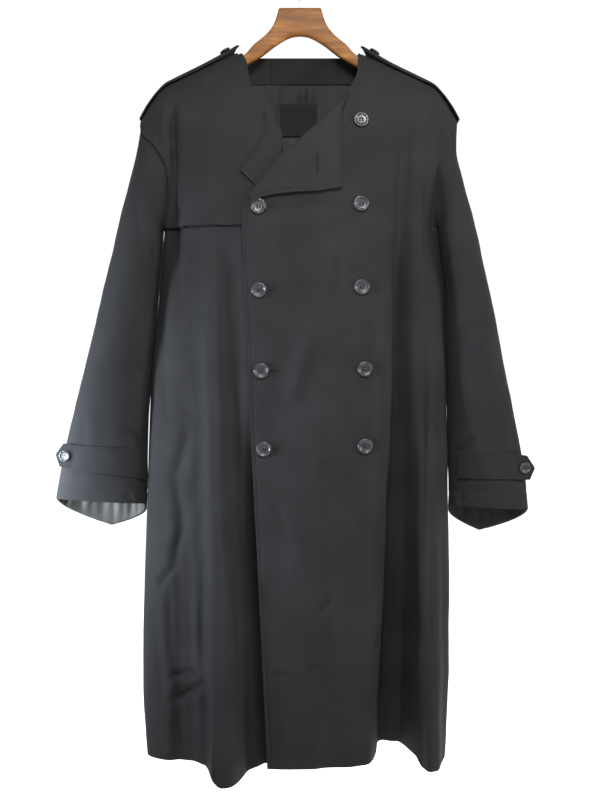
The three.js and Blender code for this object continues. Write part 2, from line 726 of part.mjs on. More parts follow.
// A corner of a front that is turned outwards: it rolls over its front's own edge and then lies
// on the front. The fold points are the edge's own vertices and the middles between them.
function turnedCorner(panel, levels, edgeTable, radius, depth, away, downwards) {
  const near = (level) =>
    LEVELS.reduce((best, l, i) => (Math.abs(l - level) < Math.abs(LEVELS[best] - level) ? i : best), 0);
  const fold = [];
  for (let i = near(levels.foot); i >= near(levels.head); i--)
    for (const t of i > near(levels.head) ? [0, 0.5] : [0])
      fold.push({
        p: panel.grid[i][0].clone().lerp(panel.grid[Math.max(0, i - 1)][0], t),
        n: panel.normals[i][0].clone().lerp(panel.normals[Math.max(0, i - 1)][0], t),
      });
  if (downwards) fold.reverse();
  const grid = fold.map(({ p }, k) => {
    const along = k / (fold.length - 1);
    const edgeX = lookup(edgeTable, "along", along, "x");
    const edgeZ = lookup(edgeTable, "along", along, "z");
    const points = [];
    for (let i = 0; i <= ROLL_STEPS; i++) {
      const turn = (Math.PI * i) / ROLL_STEPS;
      const q = p.clone().addScaledVector(away, radius * Math.sin(turn));
      points.push(q.setY(p.y - radius * (1 - Math.cos(turn))));
    }
    for (let i = 1; i <= FLAT_STEPS; i++) {
      const x = mix(p.x, edgeX, i / FLAT_STEPS);
      const z = mix(p.z, edgeZ, i / FLAT_STEPS);
      points.push(new THREE.Vector3(x, depth(x, z) - 2 * radius, z));
    }
    return points;
  });
  const normals = facing(normalsOf(grid), 1, 0, fold[1].n);
  fold.forEach(({ n }, k) => normals[k][0].copy(n));
  return wall(drawnBack(grid, "start", SEAM), normals, CLOTH);
}
const lapel = turnedCorner(over, LAPEL_LEVELS, LAPEL_EDGE, LAPEL_ROLL, overY, LAPEL_AWAY, false);
add("lapel_left", lapel, COLOURS.cloth);
const flap = turnedCorner(under, FLAP_LEVELS, FLAP_EDGE, FLAP_ROLL, underY, FLAP_AWAY, true);
add("lapel_right", flap, COLOURS.cloth);

// Pieces inside the back: neck facing, lining and a bare label
function insideBack(xFrom, xTo, top, bottom, columns, rows, inset) {
  const grid = [];
  for (let i = 0; i <= rows; i++) {
    const line = [];
    for (let j = 0; j <= columns; j++) {
      const x = mix(xFrom, xTo, j / columns);
      const z = heightAt(x, mix(top, bottom, i / rows), backHem);
      line.push(new THREE.Vector3(x, backY(x, z) - inset, z));
    }
    grid.push(line);
  }
  return grid;
}
const band = insideBack(-BAND.halfWidth, BAND.halfWidth, BAND.top, BAND.bottom, BAND.columns, 3, INSET);
add("neck_facing", wall(band, facing(normalsOf(band), 1, 6, FRONT), LINING), COLOURS.cloth);
const inner = PANEL_LINING;
const body = insideBack(inner.left, inner.right, inner.top, inner.bottom, inner.columns, inner.rows, INSET);
add("back_lining", wall(body, facing(normalsOf(body), 1, 6, FRONT), LINING), COLOURS.lining, 0.4);
const labelTop = levelAt(NECK_LABEL.x, NECK_LABEL.z + NECK_LABEL.height / 2);
const labelBottom = levelAt(NECK_LABEL.x, NECK_LABEL.z - NECK_LABEL.height / 2);
const labelLeft = NECK_LABEL.x - NECK_LABEL.width / 2;
const labelInset = INSET + LINING / 2 + SEATED + LABEL / 2;
const label = insideBack(labelLeft, labelLeft + NECK_LABEL.width, labelTop, labelBottom, 4, 2, labelInset);
add("neck_label", wall(label, facing(normalsOf(label), 1, 2, FRONT), LABEL), COLOURS.label, 0.6);

// Epaulettes: straps along the shoulder seams, sewn in at the armhole and buttoned near the neck
function epaulette(sign) {
  const extra = sign < 0 ? EPAULETTE_ON_STORM : 0;
  const grid = EPAULETTE.map((r) => {
    const x = sign * r.x;
    const dx = 3;
    const slope = (shoulderZ(x + sign * dx) - shoulderZ(x - sign * dx)) / (2 * dx);
    const up = new THREE.Vector3(-sign * slope, 0, 1).normalize();
    const middle = new THREE.Vector3(x, 0, shoulderZ(x)).addScaledVector(up, r.lift + extra);
    return [-1, -0.5, 0, 0.5, 1].map((t) => {
      const p = middle.clone();
      p.y = t * r.half;
      return p.addScaledVector(up, -r.drop * (p.y / EPAULETTE[0].half) ** 2);
    });
  });
  const normals = facing(normalsOf(grid), 4, 2, new THREE.Vector3(0, 0, 1));
  return { grid, normals };
}

// A button: a turned disc with a raised rim and a dished middle, its axis along a direction.
function button({ radius, height }, point, axis) {
  const profile = [
    [0, 0],
    [0.8 * radius, 0],
    [radius, 0.35 * height],
    [0.97 * radius, 0.85 * height],
    [0.84 * radius, height],
    [0.7 * radius, 0.68 * height],
    [0, 0.6 * height],
  ].map(([x, y]) => new THREE.Vector2(x, y));
  const geometry = new THREE.LatheGeometry(profile, 12);
  const turn = new THREE.Quaternion().setFromUnitVectors(new THREE.Vector3(0, 1, 0), axis);
  geometry.applyQuaternion(turn);
  geometry.translate(point.x, point.y, point.z);
  return geometry;
}

for (const [side, sign] of [["left", 1], ["right", -1]]) {
  const strap = epaulette(sign);
  add("epaulette_" + side, wall(strap.grid, strap.normals, FOLDED), COLOURS.cloth);
  const axis = strap.normals[EPAULETTE_BUTTON_ROW][2];
  const seat = strap.grid[EPAULETTE_BUTTON_ROW][2].clone().addScaledVector(axis, FOLDED / 2 + SEATED);
  add("button_epaulette_" + side, button(CUFF_BUTTON, seat, axis), COLOURS.button, 0.3);
}

// Point of a grid seen from the front at x, z: the place on the facet there, and its normal.
function onGrid(grid, x, z) {
  const ray = new THREE.Ray(new THREE.Vector3(x, -400, z), new THREE.Vector3(0, 1, 0));
  const hit = new THREE.Vector3();
  for (let i = 0; i < grid.length - 1; i++)
    for (let j = 0; j < grid[0].length - 1; j++) {
      const [a, b, c, d] = [grid[i][j], grid[i + 1][j], grid[i + 1][j + 1], grid[i][j + 1]];
      for (const [p, q, r] of [[a, b, c], [a, c, d]])
        if (ray.intersectTriangle(p, q, r, false, hit)) {
          const normal = new THREE.Triangle(p, q, r).getNormal(new THREE.Vector3());
          if (normal.y > 0) normal.negate();
          return { point: hit.clone(), normal };
        }
    }
  throw new Error("nothing of the panel at " + x + ", " + z);
}
for (const { name, x, z } of FRONT_BUTTONS) {
  const { point, normal } = onGrid(over.grid, x, z);
  const seat = point.addScaledVector(normal, CLOTH / 2 + SEATED);
  add(name, button(BUTTON, seat, normal), COLOURS.button, 0.3);
}

// Cuff straps: sewn in near the inner seam, across the front of the sleeve, with a pointed tip
// that stands past its outer edge
function cuffStrap(one, run) {
  const outward = CLOTH / 2 + SEATED + FOLDED / 2;
  const place = (turn, share) => {
    const p = ringPoint(ringAt(one.rows, share), one.sign, turn);
    const q = ringPoint(ringAt(one.rows, share), one.sign, turn - 2);
    const r = ringPoint(ringAt(one.rows, share + 0.01), one.sign, turn);
    const n = q.sub(p).cross(r.sub(p)).normalize();
    if (n.y > 0) n.negate();
    return p.addScaledVector(n, outward);
  };
  const grid = [];
  for (let i = 0; i <= STRAP_COLUMNS; i++) {
    const t = i / STRAP_COLUMNS;
    const turn = mix(run.from, STRAP_TURN, t);
    const top = mix(run.innerTop, run.outerTop, t);
    const bottom = mix(run.innerBottom, run.outerBottom, t);
    grid.push([0, 1 / 3, 2 / 3, 1].map((v) => place(turn, mix(top, bottom, v))));
  }
  const before = grid[STRAP_COLUMNS - 1];
  const last = grid[STRAP_COLUMNS];
  const middle = last[1].clone().lerp(last[2], 0.5);
  const step = middle.clone().sub(before[1].clone().lerp(before[2], 0.5));
  step.y *= 0.6;
  step.normalize();
  for (const [reach, narrow] of [[0.4, 1], [0.68, 0.97], [1, 0.06]])
    grid.push(last.map((p) => middle.clone().lerp(p, narrow).addScaledVector(step, reach * run.tip)));
  const normals = facing(normalsOf(grid), 3, 1, FRONT);
  return { grid, normals };
}
for (const [side, one] of [["left", sleeveRight], ["right", sleeveLeft]]) {
  const run = STRAP_RUNS[one.sign < 0 ? "left" : "right"];
  const strap = cuffStrap(one, run);
  add("cuff_strap_" + side, wall(strap.grid, strap.normals, FOLDED), COLOURS.cloth);
  const end = strap.grid[STRAP_COLUMNS + 1];
  const middle = end[1].clone().lerp(end[2], 0.5);
  const axis = strap.normals[STRAP_COLUMNS + 1][1];
  const seat = middle.addScaledVector(axis, FOLDED / 2 + CUFF_BUTTON_STAND);
  add("button_cuff_" + side, button(CUFF_BUTTON, seat, axis), COLOURS.button, 0.3);
}

// Hanger: one flat board cut to an arch, with arms that run inside the coat under its shoulders
function hangerWood() {
  const tops = [];
  for (const { x } of SHOULDER)
    if (x < ARM_END_X) tops.push({ x, z: shoulderZ(x) - WOOD_UNDER_SEAM });
  const endZ = shoulderZ(ARM_END_X) - WOOD_UNDER_SEAM;
  const end = [
    { x: ARM_END_X, z: endZ - 2 },
    { x: ARM_END_X + 2.5, z: endZ - ARM_HEIGHT.end / 2 },
    { x: ARM_END_X - 4, z: endZ - ARM_HEIGHT.end + 2 },
  ];
  const under = [
    { x: 188, z: shoulderZ(188) - WOOD_UNDER_SEAM - mix(ARM_HEIGHT.root, ARM_HEIGHT.end, 0.7) },
    { x: 134, z: shoulderZ(134) - WOOD_UNDER_SEAM - ARM_HEIGHT.root },
  ];
  const right = [...WOOD_NECK, ...tops, ...end, ...under, ...WOOD_ARCH];
  const left = right.slice(0, -1).reverse().map(({ x, z }) => ({ x: -x, z }));
  const outline = [...right, ...left];
  const shape = new THREE.Shape(outline.map(({ x, z }) => new THREE.Vector2(x, z)));
  const geometry = new THREE.ExtrudeGeometry(shape, {
    depth: WOOD - 2 * WOOD_BEVEL,
    bevelThickness: WOOD_BEVEL,
    bevelSize: WOOD_BEVEL,
    bevelOffset: -WOOD_BEVEL,
    bevelSegments: 1,
  });
  geometry.translate(0, 0, -WOOD / 2 + WOOD_BEVEL);
  geometry.rotateX(Math.PI / 2);
  return geometry;
}
add("hanger_wood", hangerWood(), COLOURS.wood, 0.35);

// Hook: a stem that rises from the board and bends into an open ring
function hangerHook() {
  const ring = HOOK.bore + HOOK.wire;
  const centre = -HOOK.bore;
  const points = [new THREE.Vector3(0, 0, HOOK.footZ + SEAM)];
  for (const { x, z } of HOOK_STEM) points.push(new THREE.Vector3(x, 0, z));
  for (let turn = HOOK_RING.from; turn <= HOOK_RING.to; turn += HOOK_RING.step) {
    const a = (turn * Math.PI) / 180;
    points.push(new THREE.Vector3(ring * Math.cos(a), 0, centre + ring * Math.sin(a)));
  }
  const section = new THREE.Shape();
  for (let k = 0; k < HOOK.sides; k++) {
    const a = (2 * Math.PI * k) / HOOK.sides;
    const p = [HOOK.wire * Math.cos(a), HOOK.wire * Math.sin(a)];
    if (k) section.lineTo(...p);
    else section.moveTo(...p);
  }
  section.closePath();
  return new THREE.ExtrudeGeometry(section, {
    steps: HOOK.steps,
    bevelEnabled: false,
    extrudePath: new THREE.CatmullRomCurve3(points),
  });
}
add("hanger_hook", hangerHook(), COLOURS.wire, 0.25, 1);

export default group;
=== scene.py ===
# %% [markdown]
# # A collarless trench coat on a wooden hanger
#
# This lesson dresses a plain model of a coat for a picture. The model gives every piece at its
# real size. Here each piece is made again as a fine sheet of cloth, with the small folds,
# stitching and weave that the plain one leaves out.
#
# Lengths are in millimetres until the last moment, because a cutter thinks in them. Blender
# gets metres.

import bpy
import numpy as np
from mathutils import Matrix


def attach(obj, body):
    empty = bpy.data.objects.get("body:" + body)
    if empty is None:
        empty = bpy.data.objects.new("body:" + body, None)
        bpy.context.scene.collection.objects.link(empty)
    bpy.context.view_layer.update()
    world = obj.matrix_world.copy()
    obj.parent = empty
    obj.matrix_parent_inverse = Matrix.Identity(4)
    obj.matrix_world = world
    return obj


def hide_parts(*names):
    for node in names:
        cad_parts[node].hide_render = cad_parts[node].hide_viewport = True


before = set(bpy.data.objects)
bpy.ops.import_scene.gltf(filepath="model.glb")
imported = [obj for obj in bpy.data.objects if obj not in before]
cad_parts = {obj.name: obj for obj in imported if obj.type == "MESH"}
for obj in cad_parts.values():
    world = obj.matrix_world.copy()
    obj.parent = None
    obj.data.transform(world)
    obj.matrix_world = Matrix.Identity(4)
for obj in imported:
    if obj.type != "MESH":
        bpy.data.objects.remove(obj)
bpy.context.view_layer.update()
print("nodes in the plain model:", len(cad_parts))

# %% [markdown]
# ## The cut of the coat
#
# A pattern cutter writes a coat down as widths at a few heights. These tables do the same. A
# curve through each column gives every height in between, so no outline has a corner in it
# unless the cloth has one.

# %% Sizes of the cloth
CLOTH = 2.0  # outer cloth with its backing
FOLDED = 2.4  # straps, which are two layers
LINING = 1.2
LABEL = 0.8
EDGE_STITCH = 5.6  # from the edge of a panel to its stitches
STRAP_STITCH = 5.0  # the same on a strap
SEATED = 0.5  # space under a piece that lies on another
PIT_Z = -430.0  # underarm level
CHEST_FRONT = 82.0
CHEST_BACK = 72.0
ARM_DEPTH = 45.0
SQUARE = 2.6  # exponent of the body's rounded-box section
LAP = 12.0  # the under front lies this far behind the over front at the chest
LAP_HEM = 8.0
BACK_HEM_Z = -1306.0
NECK_X = 98.0  # the shoulder seams start here
NECK_TURN = 8.0  # width beside each neck point where the back's edge turns down


# %% Tables and curves
def table(columns, rows):
    """Names the columns of a list of rows, as arrays."""
    return dict(zip(columns.split(), np.array(rows, dtype=float).T))


def curve(xs, ys, at):
    """Smooth curve through points that never swings past them: between two rows it is a cubic
    whose slope at each row is the harmonic mean of the slopes on its two sides, or zero at a
    peak. ys may have more columns; the curve runs down the rows."""
    if xs[0] > xs[-1]:
        xs, ys = xs[::-1], ys[::-1]
    step = np.diff(xs)
    shape = (-1,) + (1,) * (ys.ndim - 1)
    slope = np.diff(ys, axis=0) / step.reshape(shape)
    same = slope[:-1] * slope[1:] > 0
    total = np.where(same, slope[:-1] + slope[1:], 1.0)
    inner = np.where(same, 2 * slope[:-1] * slope[1:] / total, 0.0)
    tangent = np.concatenate([slope[:1], inner, slope[-1:]])
    at = np.clip(at, xs[0], xs[-1])
    i = np.clip(np.searchsorted(xs, at, side="right") - 1, 0, len(xs) - 2)
    shape = at.shape + (1,) * (ys.ndim - 1)
    h = step[i].reshape(shape)
    t = (at - xs[i]).reshape(shape) / h
    a, b = ys[i], ys[i + 1]
    return (
        a * (2 * t**3 - 3 * t**2 + 1)
        + b * (3 * t**2 - 2 * t**3)
        + tangent[i] * h * (t**3 - 2 * t**2 + t)
        + tangent[i + 1] * h * (t**3 - t**2)
    )


def read(tab, key, column, at):
    """Reads one column of a table at values of its key column."""
    return curve(tab[key], tab[column], np.asarray(at, dtype=float))


def smooth(t):
    """Soft step from 0 to 1."""
    t = np.clip(t, 0, 1)
    return t * t * (3 - 2 * t)


def mix(a, b, t):
    return a + (b - a) * t


def unit(v):
    return v / np.maximum(np.linalg.norm(v, axis=-1, keepdims=True), 1e-9)


def run_along(points, axis=0):
    """Length walked from the first point along one axis of an array of points."""
    run = np.cumsum(np.linalg.norm(np.diff(points, axis=axis), axis=-1), axis=axis)
    return np.concatenate([np.zeros_like(run.take([0], axis)), run], axis)


# %% [markdown]
# In the outline and fold tables and in SLEEVE_LEFT and SLEEVE_RIGHT, left and right are the
# viewer's. In the names of the pieces, and of all that belongs to them, they are the wearer's, as
# a tailor says them. So the wearer's right sleeve comes from SLEEVE_LEFT.

# %% Outline tables
SHOULDER = table("x z", [
    (98, -134), (134, -149), (161, -160.5), (188, -172.5), (208, -182), (222, -189.5),
    (235, -203.5), (248, -223), (257, -238.5), (264, -252),
])
BODY = table("z left right front back", [
    (-1330, 252, 241, 90, 101), (-1306, 254, 242, 90, 100), (-1190, 262, 247, 90, 94),
    (-1000, 259, 249, 88, 88), (-889, 255, 247, 86, 85), (-712, 249.5, 244.3, 84, 80),
    (-620, 241.5, 242.5, 83.5, 77.5), (-535, 234.5, 240.5, 83, 75), (-430, 226, 228, 82, 72),
])
ARMHOLE = table("level left right", [
    (0, 226, 228), (0.2, 219, 224), (0.375, 221, 226), (0.6, 240, 238.5), (0.774, 257, 252),
    (0.9, 262.5, 259), (1, 264, 262),
])
OVER_EDGE = table("level x", [
    (-1, -52.2), (-0.786, -61.7), (-0.62, -68.3), (-0.418, -77.8), (-0.27, -82.4),
    (-0.123, -89.6), (0, -93.6), (0.067, -93.8), (0.146, -80), (0.25, -57), (0.356, -31),
    (0.5, 14.7), (0.58, 41.9), (0.688, 68.6), (0.741, 77.5), (0.879, 95.2), (1, 98),
])
UNDER_EDGE = table("level x", [
    (-1, 75), (0, 66), (0.146, 45), (0.25, 8), (0.371, -31), (0.5, -32.7), (0.615, -52.5),
    (0.679, -62.4), (0.75, -77), (0.854, -85.5), (0.933, -89), (1, -98),
])
STORM_EDGE = table("level x", [
    (0, -62), (0.146, -58), (0.25, -50), (0.371, -44), (0.5, -46), (0.629, -64), (0.75, -87),
    (0.854, -94), (0.95, -99), (1, -104),
])
HEM = table("x z", [
    (-260, -1305), (-167, -1306), (-145, -1312), (-125, -1328), (-98, -1323), (-55, -1309),
    (62, -1308.5), (111, -1303), (147, -1297), (190, -1299), (200, -1314), (227, -1315),
    (245, -1306),
])

# %% [markdown]
# ## Folds
#
# Cloth that hangs from a hanger falls in long folds that open out towards the hem. Each is one
# row: where its middle line starts and ends, how deep it is at the hem, and how far it reaches
# to either side. Simulating them would take long and never land where the real ones hang.

# %% Fold tables
FOLD = "top_x top_z end_x end_z depth left right growth"
OVER_FOLDS = table(FOLD, [
    (172, -272, 150, -1330, 122, 46, 50, 2.2),
    (172, -240, 158, -900, 6, 26, 26, 0.5),
    (216, -500, 214, -1330, -36, 16, 26, 1.6),
    (212, -210, 218, -440, 9, 22, 20, 0.6),
    (20, -620, -5, -1330, -5, 60, 60, 0.8),
    (60, -1000, 50, -1330, 5, 34, 34, 1),
])
UNDER_FOLDS = table(FOLD, [
    (-145, -450, -127, -1330, -58, 27, 46, 2.4),
    (-146, -330, -140, -900, -5, 30, 30, 0.4),
    (-190, -800, -186, -1330, 15, 32, 30, 1.2),
    (-84, -800, -70, -1330, 13, 22, 30, 1),
    (-207, -210, -211, -440, 9, 20, 22, 0.6),
])
BACK_FOLDS = table(FOLD, [
    (-60, -300, -70, -1330, -22, 50, 60, 1.3),
    (40, -420, 55, -1330, -18, 55, 45, 1.6),
    (-165, -500, -160, -1330, 12, 40, 45, 1.4),
    (150, -600, 165, -1330, -14, 40, 30, 1.5),
    (-210, -215, -215, -440, -8, 20, 20, 0.6),
    (210, -215, 216, -440, -8, 20, 20, 0.6),
])
FOLD_FADE = 90.0  # a fold that ends above the hem fades out over this height
FOLD_START = 0.55  # share of its reach that a fold has where it starts
SIDE_CALM = 18.0  # width beside the side seam where the folds die out
FOLD_WALL = 0.7  # share of the reach that a fold's sloping wall takes up


def fold_depth(folds, x, z):
    """Sum over the folds of depth x (share of the way down)^growth x a soft bell across. Past
    its lower end a fold fades out."""
    total = np.zeros_like(x)
    for i in range(len(folds["depth"])):
        f = {name: column[i] for name, column in folds.items()}
        t = (f["top_z"] - z) / (f["top_z"] - f["end_z"])
        along = np.clip(t, 0, 1)
        fade = 1 - smooth((f["end_z"] - z) / FOLD_FADE)
        middle = mix(f["top_x"], f["end_x"], t)
        reach = np.where(x < middle, f["left"], f["right"]) * mix(FOLD_START, 1, along)
        across = smooth((1 - np.abs(x - middle) / reach) / FOLD_WALL)
        total += f["depth"] * along ** f["growth"] * fade * across
    return total


# %% The body as a surface
def shoulder_z(x):
    return read(SHOULDER, "x", "z", np.abs(x))


def level_at(x, z):
    """0 at the underarm, 1 at the shoulder seam."""
    return (z - PIT_Z) / (shoulder_z(x) - PIT_Z)


def height_at(x, level, hem):
    """Height of a point whose level runs from 1 at the shoulder over 0 to -1 at the hem."""
    upper = mix(PIT_Z, shoulder_z(x), level)
    return np.where(level >= 0, upper, mix(PIT_Z, hem(x), -level))


def arm_depth(level):
    """Half the armhole's depth: an ellipse over the level."""
    return ARM_DEPTH * 2 * np.sqrt(np.clip(level * (1 - level), 0, None))


def by_side(tab, key, at, x):
    return np.where(x < 0, read(tab, key, "left", at), read(tab, key, "right", at))


def panel_depth(x, z, sign, chest, skirt, folds):
    """Rounded box: reach x (1 - |x / half|^2.6)^(1/2.6). Above the underarm the reach closes
    like a circle to the shoulder seam, and the half width is what puts the edge of the armhole
    on the section. Folds are added, and die out at the side seam."""
    level = np.clip(level_at(x, z), 0, 0.99999)
    below = z <= PIT_Z
    reach = np.where(below, skirt(z), chest * np.sqrt(1 - level**2))
    share = np.where(below, 0, arm_depth(level) / reach)
    arm = by_side(ARMHOLE, "level", level, x)
    half = np.where(below, by_side(BODY, "z", z, x), arm / (1 - share**SQUARE) ** (1 / SQUARE))
    u = np.minimum(1, np.abs(x) / half)
    inner = smooth((half - np.abs(x)) / SIDE_CALM)
    return sign * reach * (1 - u**SQUARE) ** (1 / SQUARE) + inner * fold_depth(folds, x, z)


def lap_at(z):
    return mix(LAP, LAP_HEM, smooth((PIT_Z - z) / 300))


def over_y(x, z):
    return panel_depth(x, z, -1, CHEST_FRONT, lambda h: read(BODY, "z", "front", h), OVER_FOLDS)


def under_y(x, z):
    skirt = lambda h: read(BODY, "z", "front", h) - lap_at(h)
    return panel_depth(x, z, -1, CHEST_FRONT - LAP, skirt, UNDER_FOLDS)


def back_y(x, z):
    return panel_depth(x, z, 1, CHEST_BACK, lambda h: read(BODY, "z", "back", h), BACK_FOLDS)


def front_hem(x):
    return read(HEM, "x", "z", x)


def back_hem(x):
    return np.full_like(np.asarray(x, dtype=float), BACK_HEM_Z)


def side_x(level, side, hem):
    """The side's x: on the armhole above the underarm, on the side seam below. The hem's height
    depends on x and x on the height, so below the underarm it is found in four rounds."""
    sign = -1 if side == "left" else 1
    upper = read(ARMHOLE, "level", side, level)
    x = np.full_like(level, read(BODY, "z", side, PIT_Z))
    for _ in range(4):
        x = read(BODY, "z", side, height_at(sign * x, level, hem))
    return sign * np.where(level >= 0, upper, x)


# %% [markdown]
# ## Small creases
#
# A worn coat has short creases besides its long folds. They are listed one by one: each is a soft
# trough with a lower ridge beside it, strongest in its middle. Their lengths, depths and spacing
# are uneven, because even creases look printed.

# %% Crease profile
def crease_depth(rows, a, b):
    """Each row: start a, start b, end a, end b, bow, depth, width. Across the line the shape is
    -exp(-(d/w)^2) with a ridge of 0.38 of that height beside it; along it, a soft bump."""
    total = np.zeros_like(a)
    for a0, b0, a1, b1, bow, depth, width in rows:
        length = np.hypot(a1 - a0, b1 - b0)
        da, db = (a1 - a0) / length, (b1 - b0) / length
        t = ((a - a0) * da + (b - b0) * db) / length
        d = (a - a0) * db - (b - b0) * da - bow * 4 * t * (1 - t)
        along = smooth(t / 0.35) * smooth((1 - t) / 0.35) * ((t > 0) & (t < 1))
        trough = -np.exp(-((d / width) ** 2))
        ridge = 0.38 * np.exp(-(((d - 1.9 * width) / (1.3 * width)) ** 2))
        total += depth * along * (trough + ridge)
    return total


def drift(a, b, wave, seed):
    """Gentle unevenness: five sine waves of about one length that run different ways."""
    rng = np.random.default_rng(seed)
    total = np.zeros_like(a)
    for _ in range(5):
        turn = rng.uniform(0, np.pi)
        k = 2 * np.pi / (wave * rng.uniform(0.7, 1.4))
        total += np.sin(k * (a * np.cos(turn) + b * np.sin(turn)) + rng.uniform(0, 6.3))
    return total / 3


# %% Crease tables: x, z at both ends, bow, depth, width; a negative depth makes a ridge
OVER_CREASES = [
    (26, -600, -20, -735, 4, -4.6, 13),
    (-20, -731, 18, -737, 5, 2.6, 3),
    (66, -460, 60, -560, 2, 2.4, 6),
    (-54, -426, -44, -470, 3, 2.6, 5),
    (-46, -872, -8, -930, 5, 2.2, 6),
    (-30, -905, 4, -962, -4, -1.6, 7),
    (20, -1066, 54, -1030, 4, 2.8, 5),
    (-54, -1160, -16, -1150, 3, 3.6, 4),
    (2, -1160, 40, -1144, -3, 3.2, 4),
    (106, -1136, 128, -1096, 3, 3.0, 5),
    (30, -560, 84, -640, 6, 1.1, 10),
    (-20, -820, 40, -790, 6, 1.0, 9),
    (70, -700, 96, -760, -4, 1.2, 8),
    (-56, -1000, -36, -1090, 4, 1.3, 7),
    (60, -880, 84, -980, -5, 1.4, 10),
    (128, -300, 134, -420, 3, 1.4, 9),
    (112, -480, 120, -700, -5, 1.3, 10),
    (190, -330, 196, -470, 4, 2.2, 8),
    (206, -560, 204, -840, 5, 3.2, 9),
    (161, -480, 150, -1225, -4, 6.0, 10),
    (166, -380, 160, -760, 3, 3.2, 8),
    (226, -640, 222, -980, -4, 2.2, 8),
    (186, -900, 192, -1140, 3, 3.0, 8),
    (40, -1180, 92, -1225, 5, 1.6, 9),
    (-40, -1230, 20, -1255, -5, 1.4, 9),
    (225, -236, 227, -425, -3, 7.5, 7),
    (176, -200, 158, -660, 3, 7.0, 12),
    (161, -420, 153, -900, -2, 10.0, 9),
    (155, -700, 144, -1180, 2, 12.0, 9),
    (147, -960, 137, -1420, 0, 9.0, 11),
    (-70, -404, 92, -396, 4, 5.0, 15),
    (196, -500, 204, -860, 3, 2.4, 9),
    (200, -440, 236, -500, 6, 2.2, 8),
]
UNDER_CREASES = [
    (-182, -740, -214, -856, -7, 3.8, 10),
    (-213, -825, -190, -955, -6, 3.8, 9),
    (-188, -915, -208, -1010, 5, 4.0, 8),
    (-198, -985, -235, -1032, 5, 4.2, 6),
    (-170, -770, -196, -900, -5, -2.2, 10),
    (-211, -1000, -208, -1180, 3, 4.4, 7),
    (-236, -1040, -230, -1250, -4, 2.6, 9),
    (-160, -1030, -158, -1150, 2, 3.4, 4.5),
    (-228, -1212, -144, -1164, 7, 7.5, 6.5),
    (-228, -1176, -150, -1158, -5, 6.0, 5),
    (-130, -757, -106, -763, 3, 3.4, 3),
    (-112, -400, -110, -760, 3, 4.4, 13),
    (-94, -720, -68, -1500, 0, 8.0, 17),
    (-84, -690, -47, -1520, 0, 19.0, 8),
    (-100, -430, -96, -860, 0, 3.0, 10),
    (-112, -640, -104, -900, -4, 2.4, 10),
    (-176, -450, -172, -700, 4, 1.6, 9),
    (-206, -440, -196, -640, -6, 2.4, 9),
    (-226, -560, -212, -780, 5, 2.4, 8),
    (-150, -880, -170, -990, 4, 2.0, 8),
    (-132, -930, -126, -1090, -3, 1.6, 7),
    (-104, -1000, -92, -1200, 3, 2.2, 8),
    (-150, -1165, -147, -1290, 2, 3.0, 5),
    (-215, -1235, -180, -1275, 4, 2.0, 8),
    (-200, -700, -170, -745, 5, 1.8, 8),
]
STORM_CREASES = [
    (-207, -228, -208, -300, 2, 8.5, 7),
    (-208, -270, -213, -432, -3, 11, 7),
    (-130, -170, -150, -240, 5, 1.0, 12),
    (-100, -260, -128, -400, 6, 1.1, 12),
    (-180, -380, -205, -430, 4, 1.8, 8),
    (-170, -300, -178, -400, 3, 1.2, 9),
]
BACK_CREASES = [
    (-20, -230, 30, -300, 6, 1.4, 14),
    (-120, -200, -160, -300, 6, 1.8, 12),
    (130, -200, 164, -290, -6, 1.7, 12),
    (-200, -360, -150, -480, 8, 3.0, 10),
    (205, -350, 158, -500, -8, 3.2, 10),
    (-110, -470, -100, -640, 5, 1.6, 12),
    (100, -520, 110, -760, -6, 1.8, 12),
    (-30, -560, 20, -640, 8, 1.4, 10),
    (10, -820, 0, -1010, 5, 2.0, 10),
    (-130, -860, -118, -1060, -6, 2.4, 9),
    (118, -900, 112, -1130, 5, 2.6, 9),
    (-215, -700, -205, -930, 5, 2.8, 9),
    (212, -760, 205, -1000, -5, 2.6, 9),
    (-60, -1110, -10, -1130, 4, 2.2, 7),
    (30, -1190, 80, -1160, 5, 2.0, 7),
    (-190, -1150, -140, -1190, 5, 3.2, 8),
    (170, -1080, 205, -1130, -4, 2.6, 8),
    (0, -1180, 6, -1290, 3, 2.0, 9),
]


# %% Normals
def grid_normals(grid, toward, ring=False):
    """Unit cross product of the steps along the columns and down the rows, turned so that on
    the whole it looks along toward, or away from the ring's middle. Also says whether it was
    turned."""
    if ring:
        du = np.roll(grid, -1, axis=1) - np.roll(grid, 1, axis=1)
    else:
        du = np.gradient(grid, axis=1)
    n = unit(np.cross(unit(du), unit(np.gradient(grid, axis=0))))
    out = grid - grid.mean(axis=1, keepdims=True) if ring else np.asarray(toward, dtype=float)
    turned = np.sum(n * out) < 0
    return (-n if turned else n), turned


# %% [markdown]
# ## Sheets on a grid
#
# A panel is a grid of points. Each row runs from the front edge to the side seam at one level,
# divided evenly along the cloth and not along x, so that the weave isn't stretched where the
# cloth turns away. Close to a sewn edge the columns stand closer, where the stitching sinks in.

# %% Rows of a panel
EDGE_STOPS = np.array([0, 0.7, 3.2, 4.6, 5.6, 6.6, 8.0, 11.0])  # columns from the front edge
END_STOPS = np.array([9.0, 3.0, 0.7, 0])  # and before the side seam
FULL_ROW = 60.0  # shorter rows squeeze those columns in proportion


def calm_depth(depth, x, z, x_side, calm=30.0):
    """Near the underarm, the depth averaged over the heights above and below, which count by a
    bell, exp(-(dz / 26)²). So the change of formula there leaves no line. Points on the side
    seam stay."""
    shifts = np.linspace(-52, 52, 17)
    bell = np.exp(-((shifts / 26) ** 2))
    mean = sum(part * depth(x, z + dz) for part, dz in zip(bell / bell.sum(), shifts))
    near = np.exp(-(((z - PIT_Z) / 120) ** 2))
    return mix(depth(x, z), mean, near * smooth(np.abs(x_side - x) / calm))


